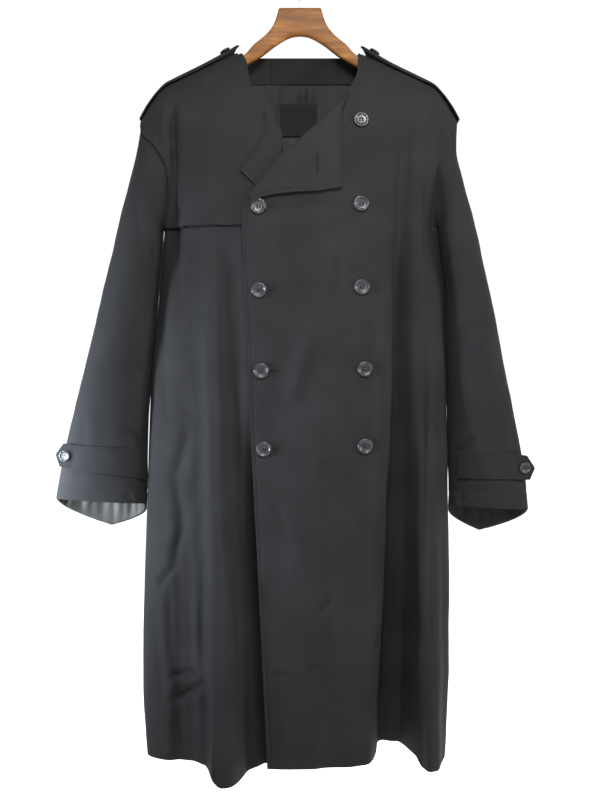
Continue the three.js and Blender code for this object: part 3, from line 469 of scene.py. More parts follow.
def calm_lengths(total, z):
    """The rows' lengths averaged in the same way. A row also counts by the height it stands
    for."""
    bell = np.exp(-(((z[:, None] - z[None]) / 60) ** 2)) * np.abs(np.gradient(z))
    return (bell / bell.sum(axis=1, keepdims=True)) @ total


def panel_grid(x_from, x_to, levels, hem, depth, columns):
    """Points at even steps of length along each row, found by walking a fine version of it. The
    half away from the side takes its steps from the calmed length, so that the columns hang
    straight past the underarm, and the other half makes up the difference."""
    t = 1 - (1 - np.linspace(0, 1, 260)) ** 2
    x = x_from[:, None] + (x_to - x_from)[:, None] * t
    z = height_at(x, levels[:, None], hem)
    y = calm_depth(depth, x, z, x_to[:, None])
    walk = np.stack([x, y, z], axis=-1)
    run = run_along(walk, axis=1)
    middle = np.linspace(0, 1, columns + 2)[1:-1]
    late = smooth((middle - 0.5) / 0.5)
    calmed = calm_lengths(run[:, -1], z.mean(axis=1))
    grid = []
    for points, length, calm_length in zip(walk, run, calmed):
        total = length[-1]
        share = min(1, total / FULL_ROW)
        start, end = EDGE_STOPS * share, total - END_STOPS * share
        extra = calm_length - total
        steps = mix(start[-1], end[0] + extra, middle) - extra * late
        want = np.concatenate([start, steps, end])
        grid.append(np.stack([np.interp(want, length, points[:, c]) for c in range(3)], axis=-1))
    return np.array(grid)


ARM_LEVELS = (1 + np.cos(np.pi * np.linspace(0, 1, 64))) / 2
SKIRT_LEVELS = -np.linspace(0, 1, 196)[1:]
LEVELS = np.concatenate([ARM_LEVELS, SKIRT_LEVELS[:-1], [-0.9975, -0.9993, -1.0]])


def front_panel(edge, side, levels, depth, columns):
    """A front from its edge to the side."""
    x_from = read(edge, "level", "x", levels)
    return panel_grid(x_from, side_x(levels, side, front_hem), levels, front_hem, depth, columns)


over_grid = front_panel(OVER_EDGE, "right", LEVELS, over_y, 84)
under_grid = front_panel(UNDER_EDGE, "left", LEVELS, under_y, 84)
print("over front:", over_grid.shape, "under front:", under_grid.shape)


# %% The back's two halves
def neck_dip(x):
    """The neck edge lies 3 per cent lower between the neck points."""
    return 1 - 0.03 * smooth((NECK_X - np.abs(x)) / NECK_TURN)


def back_height(x, level):
    upper = mix(PIT_Z, shoulder_z(x), level * neck_dip(x))
    return np.where(level >= 0, upper, mix(PIT_Z, back_hem(x), -level))


def back_grid_of(levels, columns):
    """Both halves from the middle to the side, joined at the middle."""
    halves = []
    for side in ("left", "right"):
        t = 1 - (1 - np.linspace(0, 1, 300)) ** 2
        x = side_x(levels, side, back_hem)[:, None] * t
        z = back_height(x, levels[:, None])
        y = calm_depth(back_y, x, z, x[:, -1:])
        walk = np.stack([x, y, z], axis=-1)
        run = run_along(walk, axis=1)
        share = np.concatenate([np.linspace(0, 1, columns)[:-1], [0.987, 0.996, 1]])
        calmed = calm_lengths(run[:, -1], z.mean(axis=1))[:, None]
        late = smooth((share - 0.5) / 0.5)
        want = share * calmed + late * (run[:, -1:] - calmed)
        half = [
            np.stack([np.interp(w, r, points[:, c]) for c in range(3)], axis=-1)
            for w, r, points in zip(want, run, walk)
        ]
        halves.append(np.array(half))
    return np.concatenate([halves[0][:, :0:-1], halves[1]], axis=1)


back_grid = back_grid_of(LEVELS, 64)


def raise_neck(grid):
    """The neck edge at the back stands up to 6 mm above the plain curve, between the neck
    points; the height fades out 60 mm below it."""
    lift = 6 * smooth((grid[..., 2] + 205) / 60) * smooth((96 - np.abs(grid[..., 0])) / 16)
    return grid + lift[..., None] * np.array([0, 0, 1.0])


back_grid = raise_neck(back_grid)
print("back:", back_grid.shape)

# %% [markdown]
# ## Sleeves
#
# A set-in sleeve is a tube. Its first ring is the armhole seam itself, shared with the fronts
# and the back, and its last is the cuff, whose back half hangs lower in a V. One smooth curve
# runs through the rings for every line along the sleeve.

# %% Sleeve tables
SLEEVE = "out_x out_z in_x in_z depth"
SLEEVE_LEFT = table(SLEEVE, [
    (264, -252, 226, -430, 45), (270.5, -294, 230, -431.5, 52), (281, -338, 231, -448, 58),
    (293, -384, 232.5, -470, 62), (304.5, -432, 234.6, -495, 63), (316, -482, 237, -524, 61),
    (330, -540, 240.2, -566, 58), (346, -605, 244.4, -618, 54), (362, -672, 250, -680, 50),
    (378, -736, 255, -744, 45), (392, -794, 256.6, -801, 39), (402, -842, 257.4, -850, 34),
    (408.5, -880, 258.2, -888, 30),
])
SLEEVE_RIGHT = table(SLEEVE, [
    (262, -247.5, 228, -430, 45), (260.5, -294, 231.5, -431.5, 50), (269, -338, 233.2, -448, 57),
    (281, -384, 236, -470, 62), (293.5, -432, 239, -495, 63), (304.5, -482, 242.3, -524, 61),
    (318, -540, 244.3, -566, 58), (331.5, -605, 245.5, -618, 54), (344, -672, 246.7, -680, 50),
    (357.5, -738, 247.8, -744, 45), (369.5, -798, 248.7, -801, 39), (377.5, -848, 249.3, -850, 34),
    (382, -898, 250, -890, 30),
])
SLEEVE_SQUARE = 2.2
CUFF_V = {"drop": 43, "middle": 262, "reach": 98, "start": 0.84}
RING = 132  # points round a sleeve


def ring_points(rows, sign, turn, share):
    """Superellipse of exponent 2.2 between the outer and inner point of the ring at a share of
    the sleeve's length. turn is 0 at the outer point, 90 in front and 180 inside."""
    keys = np.linspace(0, 1, len(rows["depth"]))
    r = {name: curve(keys, rows[name], share) for name in rows}
    c, s = np.cos(np.radians(turn)), np.sin(np.radians(turn))
    across = np.sign(c) * np.abs(c) ** (2 / SLEEVE_SQUARE)
    deep = np.sign(s) * np.abs(s) ** (2 / SLEEVE_SQUARE)
    x = sign * ((r["out_x"] + r["in_x"]) / 2 + (r["out_x"] - r["in_x"]) / 2 * across)
    z = (r["out_z"] + r["in_z"]) / 2 + (r["out_z"] - r["in_z"]) / 2 * across
    return np.stack([x, -r["depth"] * deep, z], axis=-1)


def cuff_drop(turn, share):
    v = np.clip(1 - np.abs(turn - CUFF_V["middle"]) / CUFF_V["reach"], 0, 1)
    return CUFF_V["drop"] * v * smooth((share - CUFF_V["start"]) / (1 - CUFF_V["start"]))


def sleeve_grid(rows, sign, front_depth, shares):
    """The curve down each line of the sleeve through the armhole seam and the rings."""
    turn = np.arange(RING) * 360 / RING
    side = "left" if sign < 0 else "right"
    level = (1 + np.cos(np.radians(turn))) / 2
    x = sign * read(ARMHOLE, "level", side, level)
    z = mix(PIT_Z, shoulder_z(x), level)
    y = np.where(turn <= 180, front_depth(x, z), back_y(x, z))
    y = np.where((turn == 0) | (turn == 180), 0, y)
    keys = np.linspace(0, 1, len(rows["depth"]))
    rings = [np.stack([x, y, z], axis=-1)]
    for share in keys[1:]:
        rings.append(ring_points(rows, sign, turn, np.full_like(turn, share)))
    grid = curve(keys, np.array(rings), shares)
    grid[..., 2] -= cuff_drop(turn[None, :], shares[:, None])
    return grid


SHARES = np.concatenate([[0, 0.001], np.linspace(0.006, 0.994, 158), [0.999, 1]])
sleeve_right_grid = sleeve_grid(SLEEVE_LEFT, -1, under_y, SHARES)
sleeve_left_grid = sleeve_grid(SLEEVE_RIGHT, 1, over_y, SHARES)
print("sleeves:", sleeve_left_grid.shape)

# %% Creases of the sleeves: millimetres round from the outer line, and down from the shoulder
SLEEVE_RIGHT_CREASES = [
    (60, 60, 110, 150, 6, 2.2, 10),
    (130, 90, 170, 210, -6, 3.0, 10),
    (70, 230, 150, 300, 8, 2.0, 12),
    (100, 330, 165, 380, 6, 2.4, 9),
    (40, 400, 52, 560, 4, 1.8, 9),
    (110, 430, 172, 476, -6, 4.4, 7),
    (70, 508, 128, 520, 4, 3.4, 8),
    (104, 520, 160, 498, 5, 4.6, 7),
    (128, 556, 150, 606, 4, 4.0, 5),
    (230, 120, 270, 260, 6, 2.4, 10),
    (250, 330, 210, 430, 8, 2.8, 9),
    (290, 420, 240, 520, -6, 2.2, 9),
    (330, 240, 320, 400, 5, 1.6, 10),
]
SLEEVE_LEFT_CREASES = [
    (50, 50, 100, 160, 6, 1.8, 11),
    (120, 100, 168, 230, -6, 2.6, 10),
    (60, 260, 130, 330, 7, 1.6, 12),
    (110, 350, 170, 400, 6, 2.2, 9),
    (30, 420, 44, 570, -4, 1.4, 9),
    (84, 450, 150, 500, 5, 3.6, 8),
    (60, 520, 120, 506, 3, 4.0, 7),
    (120, 560, 140, 612, 3, 4.0, 5),
    (235, 130, 262, 270, 6, 2.2, 10),
    (250, 350, 214, 440, -7, 2.6, 9),
    (300, 400, 250, 500, 6, 2.0, 9),
    (336, 260, 322, 430, 5, 1.6, 10),
]

# %% [markdown]
# ## From a grid to cloth
#
# A sheet with no thickness looks like paper at its edges. Each grid is moved out and in by half
# the cloth's thickness, and a narrow rounded rim joins the two. A Solidify modifier could do
# this, but here the seams need rims that don't bulge into their neighbours.


# %% Mesh makers
def put_mesh(name, points, quads, uv, material, caps=()):
    """New object from points in millimetres, quads and any many-sided caps. Blender gets metres."""
    corners = np.concatenate([quads.ravel()] + [np.asarray(c) for c in caps]).astype(np.int32)
    sizes = np.concatenate([np.full(len(quads), 4), [len(c) for c in caps]]).astype(np.int32)
    starts = np.concatenate([[0], np.cumsum(sizes)[:-1]]).astype(np.int32)
    mesh = bpy.data.meshes.new(name)
    mesh.vertices.add(len(points))
    mesh.vertices.foreach_set("co", (points / 1000).astype(np.float32).ravel())
    mesh.loops.add(len(corners))
    mesh.loops.foreach_set("vertex_index", corners)
    mesh.polygons.add(len(sizes))
    mesh.polygons.foreach_set("loop_start", starts)
    mesh.polygons.foreach_set("loop_total", sizes)
    mesh.polygons.foreach_set("use_smooth", np.ones(len(sizes), dtype=bool))
    mesh.update(calc_edges=True)
    if uv is not None:
        layer = mesh.uv_layers.new(name="cloth")
        layer.data.foreach_set("uv", (uv / 1000).astype(np.float32).ravel())
    mesh.materials.append(material)
    obj = bpy.data.objects.new(name, mesh)
    bpy.context.scene.collection.objects.link(obj)
    return obj


def grid_quads(ids):
    """Quads between the rows and columns of a grid of point numbers, or of several grids."""
    above, below = ids[..., :-1, :], ids[..., 1:, :]
    corners = [above[..., :-1], above[..., 1:], below[..., 1:], below[..., :-1]]
    return np.stack(corners, axis=-1).reshape(-1, 4)


def close_rings(count, sides):
    """Numbers of the points of rings, and the same with the first point again at the end."""
    ids = np.arange(count * sides).reshape(count, sides)
    return ids, np.concatenate([ids, ids[:, :1]], axis=1)


def face_out(points, quads, caps, centre):
    """Turns every face over if the first quad looks towards the centre."""
    a, b, c = points[quads[0, :3]]
    if np.dot(np.cross(b - a, c - a), (a + c) / 2 - centre) < 0:
        return quads[:, ::-1], [cap[::-1] for cap in caps]
    return quads, caps


def wall_mesh(name, grid, toward, thickness, material, uv, ring=False, bulge=0.4):
    """Outer and inner copy of the grid, half the thickness either way along its normals, and
    two strips round each rim that pass over a line just outside the edge."""
    rows, columns = grid.shape[:2]
    n, turned = grid_normals(grid, toward, ring)
    edge = np.zeros_like(grid)
    edge[0] += unit(grid[0] - grid[1])
    edge[-1] += unit(grid[-1] - grid[-2])
    if not ring:
        edge[:, 0] += unit(grid[:, 0] - grid[:, 1])
        edge[:, -1] += unit(grid[:, -1] - grid[:, -2])
    middle = grid + unit(edge) * (bulge * thickness / 2)
    points = np.concatenate([
        (grid + n * thickness / 2).reshape(-1, 3),
        (grid - n * thickness / 2).reshape(-1, 3),
        middle.reshape(-1, 3),
    ])
    count = rows * columns
    ids = np.arange(count).reshape(rows, columns)
    wide = np.arange(rows * (columns + 1)).reshape(rows, columns + 1)
    if ring:
        ids_wide = np.concatenate([ids, ids[:, :1]], axis=1)
    else:
        ids_wide, wide = ids, ids
    face, face_uv = grid_quads(ids_wide), grid_quads(wide)
    quads = [face, face[:, ::-1] + count]
    maps = [face_uv, face_uv[:, ::-1]]
    loops = [(ids_wide[0], wide[0]), (ids_wide[-1][::-1], wide[-1][::-1])]
    if not ring:
        loops += [(ids[:, -1], ids[:, -1]), (ids[::-1, 0], ids[::-1, 0])]
    for loop, loop_uv in loops:
        p, q = loop[:-1], loop[1:]
        pu, qu = loop_uv[:-1], loop_uv[1:]
        quads.append(np.stack([q, p, p + 2 * count, q + 2 * count], axis=-1))
        quads.append(np.stack([q + 2 * count, p + 2 * count, p + count, q + count], axis=-1))
        maps += [np.stack([qu, pu, pu, qu], axis=-1)] * 2
    quads, maps = np.concatenate(quads), np.concatenate(maps)
    if turned:
        quads, maps = quads[:, ::-1], maps[:, ::-1]
    used, new = np.unique(quads, return_inverse=True)
    quads = new.reshape(quads.shape)
    flat_uv = uv.reshape(-1, 2)[maps.ravel()]
    return put_mesh(name, points[used], quads, flat_uv, material)


def grid_uv(grid, ring=False):
    """Length along each row, and down the grid as the mean of its columns, in millimetres."""
    g = np.concatenate([grid, grid[:, :1]], axis=1) if ring else grid
    u = run_along(g, axis=1)
    v = np.cumsum(np.linalg.norm(np.diff(g, axis=0), axis=-1).mean(axis=1))
    v = np.broadcast_to(np.concatenate([[0], v])[:, None], u.shape)
    return np.stack([u, v], axis=-1)


def sheet_size(grid, ring=False):
    """Greatest length across and down the grid, and its area, in metres."""
    g = np.concatenate([grid, grid[:, :1]], axis=1) if ring else grid
    across = np.linalg.norm(np.diff(g, axis=1), axis=-1).sum(axis=1).max()
    down = np.linalg.norm(np.diff(g, axis=0), axis=-1).sum(axis=0).max()
    a, b = g[1:, 1:] - g[:-1, :-1], g[1:, :-1] - g[:-1, 1:]
    area = np.linalg.norm(np.cross(a, b), axis=-1).sum() / 2
    return across / 1000, down / 1000, area / 1e6


# %% [markdown]
# ## Materials
#
# Gabardine is a tight twill of fine cotton: ribs at 63 degrees, only a third of a millimetre
# apart. At the size of this picture they would vanish, so they are drawn several times coarser
# and very low. Besides the ribs, the colour fades a little from one hand's width to the next.


# %% Node helper and colours
def linear(hex_code):
    """sRGB hex to the linear values that shaders use."""
    c = np.array([int(hex_code[i : i + 2], 16) for i in (1, 3, 5)]) / 255
    c = np.where(c <= 0.04045, c / 12.92, ((c + 0.055) / 1.055) ** 2.4)
    return (*c.tolist(), 1.0)


def node(tree, kind, settings=None, links=None):
    """Adds a node, sets its properties or sockets, and links other sockets into it."""
    n = tree.nodes.new(kind)
    for key, value in (settings or {}).items():
        if isinstance(key, str) and hasattr(n, key):
            setattr(n, key, value)
        else:
            n.inputs[key].default_value = value
    for key, source in (links or {}).items():
        tree.links.new(source, n.inputs[key])
    return n


def new_material(name, base, **sockets):
    material = bpy.data.materials.new(name)
    material.use_nodes = True
    tree = material.node_tree
    shader = tree.nodes["Principled BSDF"]
    shader.inputs["Base Color"].default_value = linear(base)
    for key, value in sockets.items():
        shader.inputs[key.replace("_", " ")].default_value = value
    return material, tree, shader


def ramp(tree, source, stops):
    """Colour ramp with stops of place and hex colour."""
    r = node(tree, "ShaderNodeValToRGB", links={"Fac": source})
    while len(r.color_ramp.elements) < len(stops):
        r.color_ramp.elements.new(0.5)
    for element, (place, colour) in zip(r.color_ramp.elements, stops):
        element.position = place
        element.color = linear(colour)
    return r.outputs["Color"]


def mottled(name, base, noise, stops, **sockets):
    """Material whose colour follows a noise in the object's own space."""
    material, tree, shader = new_material(name, base, **sockets)
    place = node(tree, "ShaderNodeTexCoord").outputs["Object"]
    pattern = node(tree, "ShaderNodeTexNoise", noise, {"Vector": place}).outputs["Fac"]
    tree.links.new(ramp(tree, pattern, stops), shader.inputs["Base Color"])
    return material, tree, shader


# %% Gabardine
TWILL_MM = 1.5  # width of a rib, and of the groove beside it; a real one is far finer
TWILL_ANGLE = np.radians(27)


def woven(name, base, dark, light, rib_mm, rib_height, **sockets):
    """Twill: ribs on the cloth's own length coordinates, fibres across them, slow fading."""
    material, tree, shader = new_material(name, base, **sockets)
    uv = node(tree, "ShaderNodeUVMap", {"uv_map": "cloth"}).outputs["UV"]
    spin = node(tree, "ShaderNodeMapping", {"Rotation": (0, 0, TWILL_ANGLE)}, {"Vector": uv})
    slow = {"Scale": 9.0, "Detail": 4.0, "Roughness": 0.55}
    fading = node(tree, "ShaderNodeTexNoise", slow, {"Vector": uv})
    colour = ramp(tree, fading.outputs["Fac"], [(0.3, dark), (0.52, base), (0.75, light)])
    # A rib of the wave texture at scale 1 is pi / 20 wide, and the map is in metres.
    scale = 1000 / rib_mm / 20 * np.pi
    wave = {"wave_type": "BANDS", "bands_direction": "X", "Scale": scale, "Distortion": 0.6, "Detail": 1.0}
    ribs = node(tree, "ShaderNodeTexWave", wave, {"Vector": spin.outputs["Vector"]})
    fibre = node(tree, "ShaderNodeTexNoise", {"Scale": 900.0, "Detail": 2.0}, {"Vector": uv})
    slub = node(
        tree, "ShaderNodeMath", {"operation": "MULTIPLY_ADD", 1: 0.6},
        {0: fibre.outputs["Fac"], 2: ribs.outputs["Fac"]},
    )
    bump = node(
        tree, "ShaderNodeBump", {"Strength": 0.5, "Distance": rib_height / 1000},
        {"Height": slub.outputs[0]},
    )
    tree.links.new(colour, shader.inputs["Base Color"])
    tree.links.new(bump.outputs["Normal"], shader.inputs["Normal"])
    return material


gabardine = woven(
    "charcoal_gabardine", "#212122", "#1D1D1E", "#262628", TWILL_MM, 0.10,
    Roughness=0.8, Specular_IOR_Level=0.1, Sheen_Weight=0.01, Sheen_Roughness=0.5,
)
# Facing cloth is the same gabardine with its smoother side out, so it looks a shade lighter.
facing = woven(
    "gabardine_facing", "#222321", "#1E1F1D", "#272825", TWILL_MM, 0.08,
    Roughness=0.78, Specular_IOR_Level=0.1, Sheen_Weight=0.01, Sheen_Roughness=0.5,
)
# Satin has long floating threads: smooth, with a soft gloss on every wrinkle. Its base colour is
# raised about a quarter, as painted light for the inside of the neck and the cuffs, where the
# lamps hardly reach.
satin = woven(
    "viscose_satin_painted_lighter", "#2D2C2A", "#262523", "#343330", 0.8, 0.03,
    Roughness=0.58, Specular_IOR_Level=0.18,
)
# The label's colour is raised a little too, as painted light for the inside of the neck.
label_cloth = woven(
    "woven_label_painted_lighter", "#202021", "#1C1C1D", "#252526", 0.7, 0.05, Roughness=0.75, Specular_IOR_Level=0.12
)
thread = mottled(
    "polyester_thread", "#1E1E20", {"Scale": 1500.0, "Detail": 1.0},
    [(0.3, "#1A1A1C"), (0.7, "#222225")], Roughness=0.6, Specular_IOR_Level=0.2,
)[0]

# %% [markdown]
# Buttons are cast polyester made to look like dark horn: almost black, with faint smoky streaks
# and a polished rim that takes the lights. The hanger is beech, stained and varnished, with its
# grain along the arms. The hook is plated steel wire.

# %% Button, wood and wire
horn = mottled(
    "polished_horn_polyester", "#2A2A2D", {"Scale": 90.0, "Detail": 4.0, "Distortion": 1.8},
    [(0.35, "#1E1E21"), (0.55, "#2A2A2D"), (0.75, "#3D3D41")],
    Roughness=0.36, IOR=1.5, Coat_Weight=0.12, Coat_Roughness=0.2,
)[0]

beech, beech_tree, beech_shader = new_material(
    "stained_beech", "#643C16", Roughness=0.5, Specular_IOR_Level=0.12, Coat_Weight=0.02, Coat_Roughness=0.3
)
beech_place = node(beech_tree, "ShaderNodeTexCoord").outputs["Object"]
# Grain lines run along X, a few millimetres apart, so the pattern is drawn out along X.
squeeze = node(beech_tree, "ShaderNodeMapping", {"Scale": (0.12, 1.0, 1.0)}, {"Vector": beech_place})
squeezed = {"Vector": squeeze.outputs["Vector"]}
fine_grain = {"Scale": 240.0, "Detail": 5.0, "Roughness": 0.6, "Distortion": 0.4}
grain = node(beech_tree, "ShaderNodeTexNoise", fine_grain, squeezed)
broad_grain = {"Scale": 38.0, "Detail": 2.0, "Distortion": 0.8}
bands = node(beech_tree, "ShaderNodeTexNoise", broad_grain, squeezed)
bands_share = node(
    beech_tree, "ShaderNodeMath", {"operation": "MULTIPLY", 1: 0.55}, {0: bands.outputs["Fac"]}
)
both = node(
    beech_tree, "ShaderNodeMath", {"operation": "MULTIPLY_ADD", 1: 0.45},
    {0: grain.outputs["Fac"], 2: bands_share.outputs[0]},
)
beech_tree.links.new(
    ramp(beech_tree, both.outputs[0], [(0.36, "#593614"), (0.5, "#72481C"), (0.64, "#8C6030")]),
    beech_shader.inputs["Base Color"],
)
beech_bump = node(
    beech_tree, "ShaderNodeBump", {"Strength": 0.25, "Distance": 0.0002}, {"Height": grain.outputs["Fac"]}
)
beech_tree.links.new(beech_bump.outputs["Normal"], beech_shader.inputs["Normal"])

wire = mottled(
    "plated_steel_wire", "#A5A29B", {"Scale": 220.0, "Detail": 3.0},
    [(0.35, "#96938C"), (0.65, "#AFACA5")], Metallic=1.0, Roughness=0.24,
)[0]

# %% [markdown]
# ## The fronts, the back and the sleeves
#
# Creases push the points along the panel's normals. They fade near every sewn edge, where the
# seam holds the cloth, and along the stitched front edges the cloth sinks in a little under the
# thread and puckers between the stitches.


# %% Dressing a panel
def edge_fade(grid, start=0.0, end=22.0, top=22.0):
    """0 at the sewn edges and 1 inside, and the lengths from the start and from the top."""
    run, down = run_along(grid, axis=1), run_along(grid, axis=0)
    fade = np.ones(grid.shape[:2])
    if start:
        fade *= smooth(run / start)
    if end:
        fade *= smooth((run[:, -1:] - run) / end)
    if top:
        fade *= smooth(down / top)
    return fade, run, down


def groove(distance, at=EDGE_STITCH, depth=0.75, width=1.5):
    """The dent that a line of stitches makes at a distance from an edge."""
    return -depth * np.exp(-(((distance - at) / width) ** 2))


def pucker(distance, along, seed, height=0.22):
    """Ripples of about 11 mm between an edge and its stitching, which die out inwards."""
    ripple = np.sin(along * 2 * np.pi / 11 + 1.6 * np.sin(along / 37 + seed))
    return height * ripple * np.exp(-((distance / 13) ** 2))


def dress(grid, toward, creases, seed, fade, push=0.0, ring=False, ab=None):
    """Moves the points along the normals: by creases and gentle unevenness, times the fade, and
    by a push."""
    n, _ = grid_normals(grid, toward, ring)
    a, b = ab if ab is not None else (grid[..., 0], grid[..., 2])
    move = crease_depth(creases, a, b)
    move = move + 0.9 * drift(a, b, 150, seed) + 0.28 * drift(a, b, 42, seed + 1)
    return grid + n * (move * fade + push)[..., None]


FRONT, BACK, UP = (0, -1, 0), (0, 1, 0), (0, 0, 1)
SIDEWAYS = {1: (1, 0, 0.2), -1: (-1, 0, 0.2)}  # out of a sleeve, by the sign of its x
fade, run, _ = edge_fade(over_grid)
stitched = groove(run) + pucker(run, over_grid[..., 2], 1.0)
# Low down the front edge stands off the under front a little, which leaves it in shadow.
stitched += 2.2 * np.exp(-((run / 40) ** 2)) * smooth((-760 - over_grid[..., 2]) / 200)
over_cloth = dress(over_grid, FRONT, OVER_CREASES, 3, fade, stitched)
fade = edge_fade(under_grid)[0]
under_cloth = dress(under_grid, FRONT, UNDER_CREASES + STORM_CREASES, 8, fade)
fade = edge_fade(back_grid, start=22, top=26)[0]
back_cloth = dress(back_grid, BACK, BACK_CREASES, 12, fade)


# %% Dressing the sleeves
def dress_sleeve(grid, sign, creases, seed):
    """Creases are placed in millimetres round the sleeve and down it. The last 30 mm are the
    turned hem, and a shallow dent runs where it is sewn."""
    uv = grid_uv(grid, ring=True)[:, :-1]
    a, b = uv[..., 0], uv[..., 1]
    length = b[-1, 0]
    fade = smooth(b / 30) * smooth((length - b) / 14)
    wrap = np.minimum(1, np.minimum(a, a[:, -1:] - a) / 20)
    # The inner line lies against the body, so it stays where it is until below the elbow.
    inner = smooth(np.abs(np.arange(RING) * 360 / RING - 180) / 34)[None, :]
    fade = fade * mix(inner, 1, smooth((b - 470) / 60))
    up = length - b
    push = -0.5 * np.exp(-(((up - 30) / 3.0) ** 2)) * smooth(up / 12)
    fade = fade * smooth(wrap)
    return dress(grid, SIDEWAYS[sign], creases, seed, fade, push, ring=True, ab=(a, b))


sleeve_left_cloth = dress_sleeve(sleeve_left_grid, 1, SLEEVE_LEFT_CREASES, 21)
sleeve_right_cloth = dress_sleeve(sleeve_right_grid, -1, SLEEVE_RIGHT_CREASES, 25)


def corner_size(grid):
    """Cut of a turned corner: extent along its fold line, and the greatest way from the fold
    over the roll to the edge, at right angles to that line."""
    fold = unit(grid[0, -1] - grid[0, 0])
    along = grid @ fold
    step = np.diff(grid, axis=0)
    across = np.sqrt(np.maximum((step**2).sum(axis=-1) - (step @ fold) ** 2, 0)).sum(axis=0)
    return np.ptp(along) / 1000, across.max() / 1000, sheet_size(grid)[2]


def finish_cloth(obj, nodes, grid, ring=False, corner=False):
    """Rides on the one body, stands for its plain pieces, and states the cut of the sheet."""
    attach(obj, "root")
    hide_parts(*nodes)
    width, length, area = corner_size(grid) if corner else sheet_size(grid, ring)
    area = min(area, width * length)
    print(f"{obj.name}: cut {width * 1000:.0f} x {length * 1000:.0f} mm, {area:.3f} m2")


def draw_back(grid, start=0.0, end=0.0, top=0.0):
    """Pulls the rim in along the cloth, so that a seam is a fine line and not a crossing."""
    g = grid.copy()
    if top:
        g[0] += unit(grid[1] - grid[0]) * top
    if start:
        g[:, 0] += unit(grid[:, 1] - grid[:, 0]) * start
    if end:
        g[:, -1] += unit(grid[:, -2] - grid[:, -1]) * end
    return g


SEAM_HALF = 0.3  # each panel stops this far short of its seams
for name, grid, toward, nodes, edges in (
    ("cloth_front_left", over_cloth, FRONT, ["front_left"], (0, SEAM_HALF, SEAM_HALF)),
    ("cloth_front_right", under_cloth, FRONT, ["front_right"], (0, SEAM_HALF, SEAM_HALF)),
    ("cloth_back", back_cloth, BACK, ["back"], (SEAM_HALF, SEAM_HALF, SEAM_HALF)),
):
    obj = wall_mesh(name, draw_back(grid, *edges), toward, CLOTH, gabardine, grid_uv(grid), bulge=0.3)
    finish_cloth(obj, nodes, grid)
for name, grid, sign in (("sleeve_left", sleeve_left_cloth, 1), ("sleeve_right", sleeve_right_cloth, -1)):
    drawn = draw_back(grid, top=SEAM_HALF)
    uv = grid_uv(grid, ring=True)
    obj = wall_mesh("cloth_" + name, drawn, SIDEWAYS[sign], CLOTH, gabardine, uv, ring=True, bulge=0.3)
    finish_cloth(obj, [name], grid, ring=True)

# %% [markdown]
# ## The storm flap
#
# This loose panel lies on the under front from the shoulder down to the underarm. It is the same
# surface moved out by the thickness of the cloth, and its lower edge stands off a little more,
# which gives the shadow under it.

# %% Storm flap
STORM_OUT = CLOTH + 1.0
storm_levels = np.concatenate([LEVELS[1:63], [0.004, 0.0]])
storm_grid = front_panel(STORM_EDGE, "left", storm_levels, under_y, 48)
fade, run, down = edge_fade(storm_grid)
to_hem = down[-1:] - down
lift = STORM_OUT + 2.4 * np.exp(-((to_hem / 30) ** 2)) * smooth((run[:, -1:] - run) / 40)
storm_push = lift + groove(to_hem) + pucker(to_hem, storm_grid[..., 0], 2.0)
storm_cloth = dress(storm_grid, FRONT, UNDER_CREASES + STORM_CREASES, 8, fade, storm_push)
storm_cloth = draw_back(storm_cloth, end=2.5)
storm = wall_mesh("cloth_storm_flap", storm_cloth, FRONT, CLOTH, gabardine, grid_uv(storm_cloth))
finish_cloth(storm, ["storm_flap"], storm_cloth)

# %% [markdown]
# ## Turned corners
#
# With no collar, the top corner of the over front falls open along a slanting fold and shows its
# facing. The cloth first rolls over the fold line in a half circle and then lies on the front.
# The small corner of the under front does the same the other way.

# %% Turned corners
LAPEL_EDGE = table("along x z", [
    (0, -80, -397), (0.1, -62, -387), (0.2, -40, -382.5), (0.3, -8, -379), (0.4, 30, -377),
    (0.5, 67.7, -371), (0.6, 67.7, -336), (0.7, 67.5, -303), (0.8, 67, -275), (0.9, 66.5, -248),
    (1, 77, -214),
])
FLAP_EDGE = table("along x z", [
    (0, -56, -251), (0.167, -52.5, -272), (0.333, -62, -295), (0.5, -78, -319),
    (0.667, -97, -341), (0.833, -70, -368), (1, -34, -379),
])


def turned_corner(edge, depth, foot, head, away, radius, outline, steps, tilt):
    """Fold line on the panel's edge between two levels; half circle of the roll; straight lines
    from there to the outline, on the panel's surface two radii out."""
    level = np.linspace(foot, head, steps)
    x0 = read(edge, "level", "x", level)
    z0 = height_at(x0, level, front_hem)
    y0 = depth(x0, z0)
    t = np.linspace(0, 1, steps)
    turn = np.linspace(0, np.pi, 10)[:, None]
    away = unit(np.array(away, dtype=float))
    roll_x = x0 + radius * np.sin(turn) * away[0]
    roll_z = z0 + radius * np.sin(turn) * away[2]
    roll_y = y0 - radius * (1 - np.cos(turn))
    places = np.concatenate([np.linspace(0, 1, 30)[1:-1], [0.97, 0.995, 1]])
    share = np.unique(np.round(places, 4))[:, None]
    tip_x = np.interp(t, outline["along"], outline["x"])
    tip_z = np.interp(t, outline["along"], outline["z"])
    x = mix(x0, tip_x, share)
    z = mix(z0, tip_z, share)
    y = depth(x, z) - 2 * radius - tilt * np.sin(np.pi * share) - 0.6 * tilt * share
    flat = np.stack([x, y, z], axis=-1)
    roll = np.stack([roll_x, roll_y, roll_z], axis=-1)
    return np.concatenate([roll, flat], axis=0)


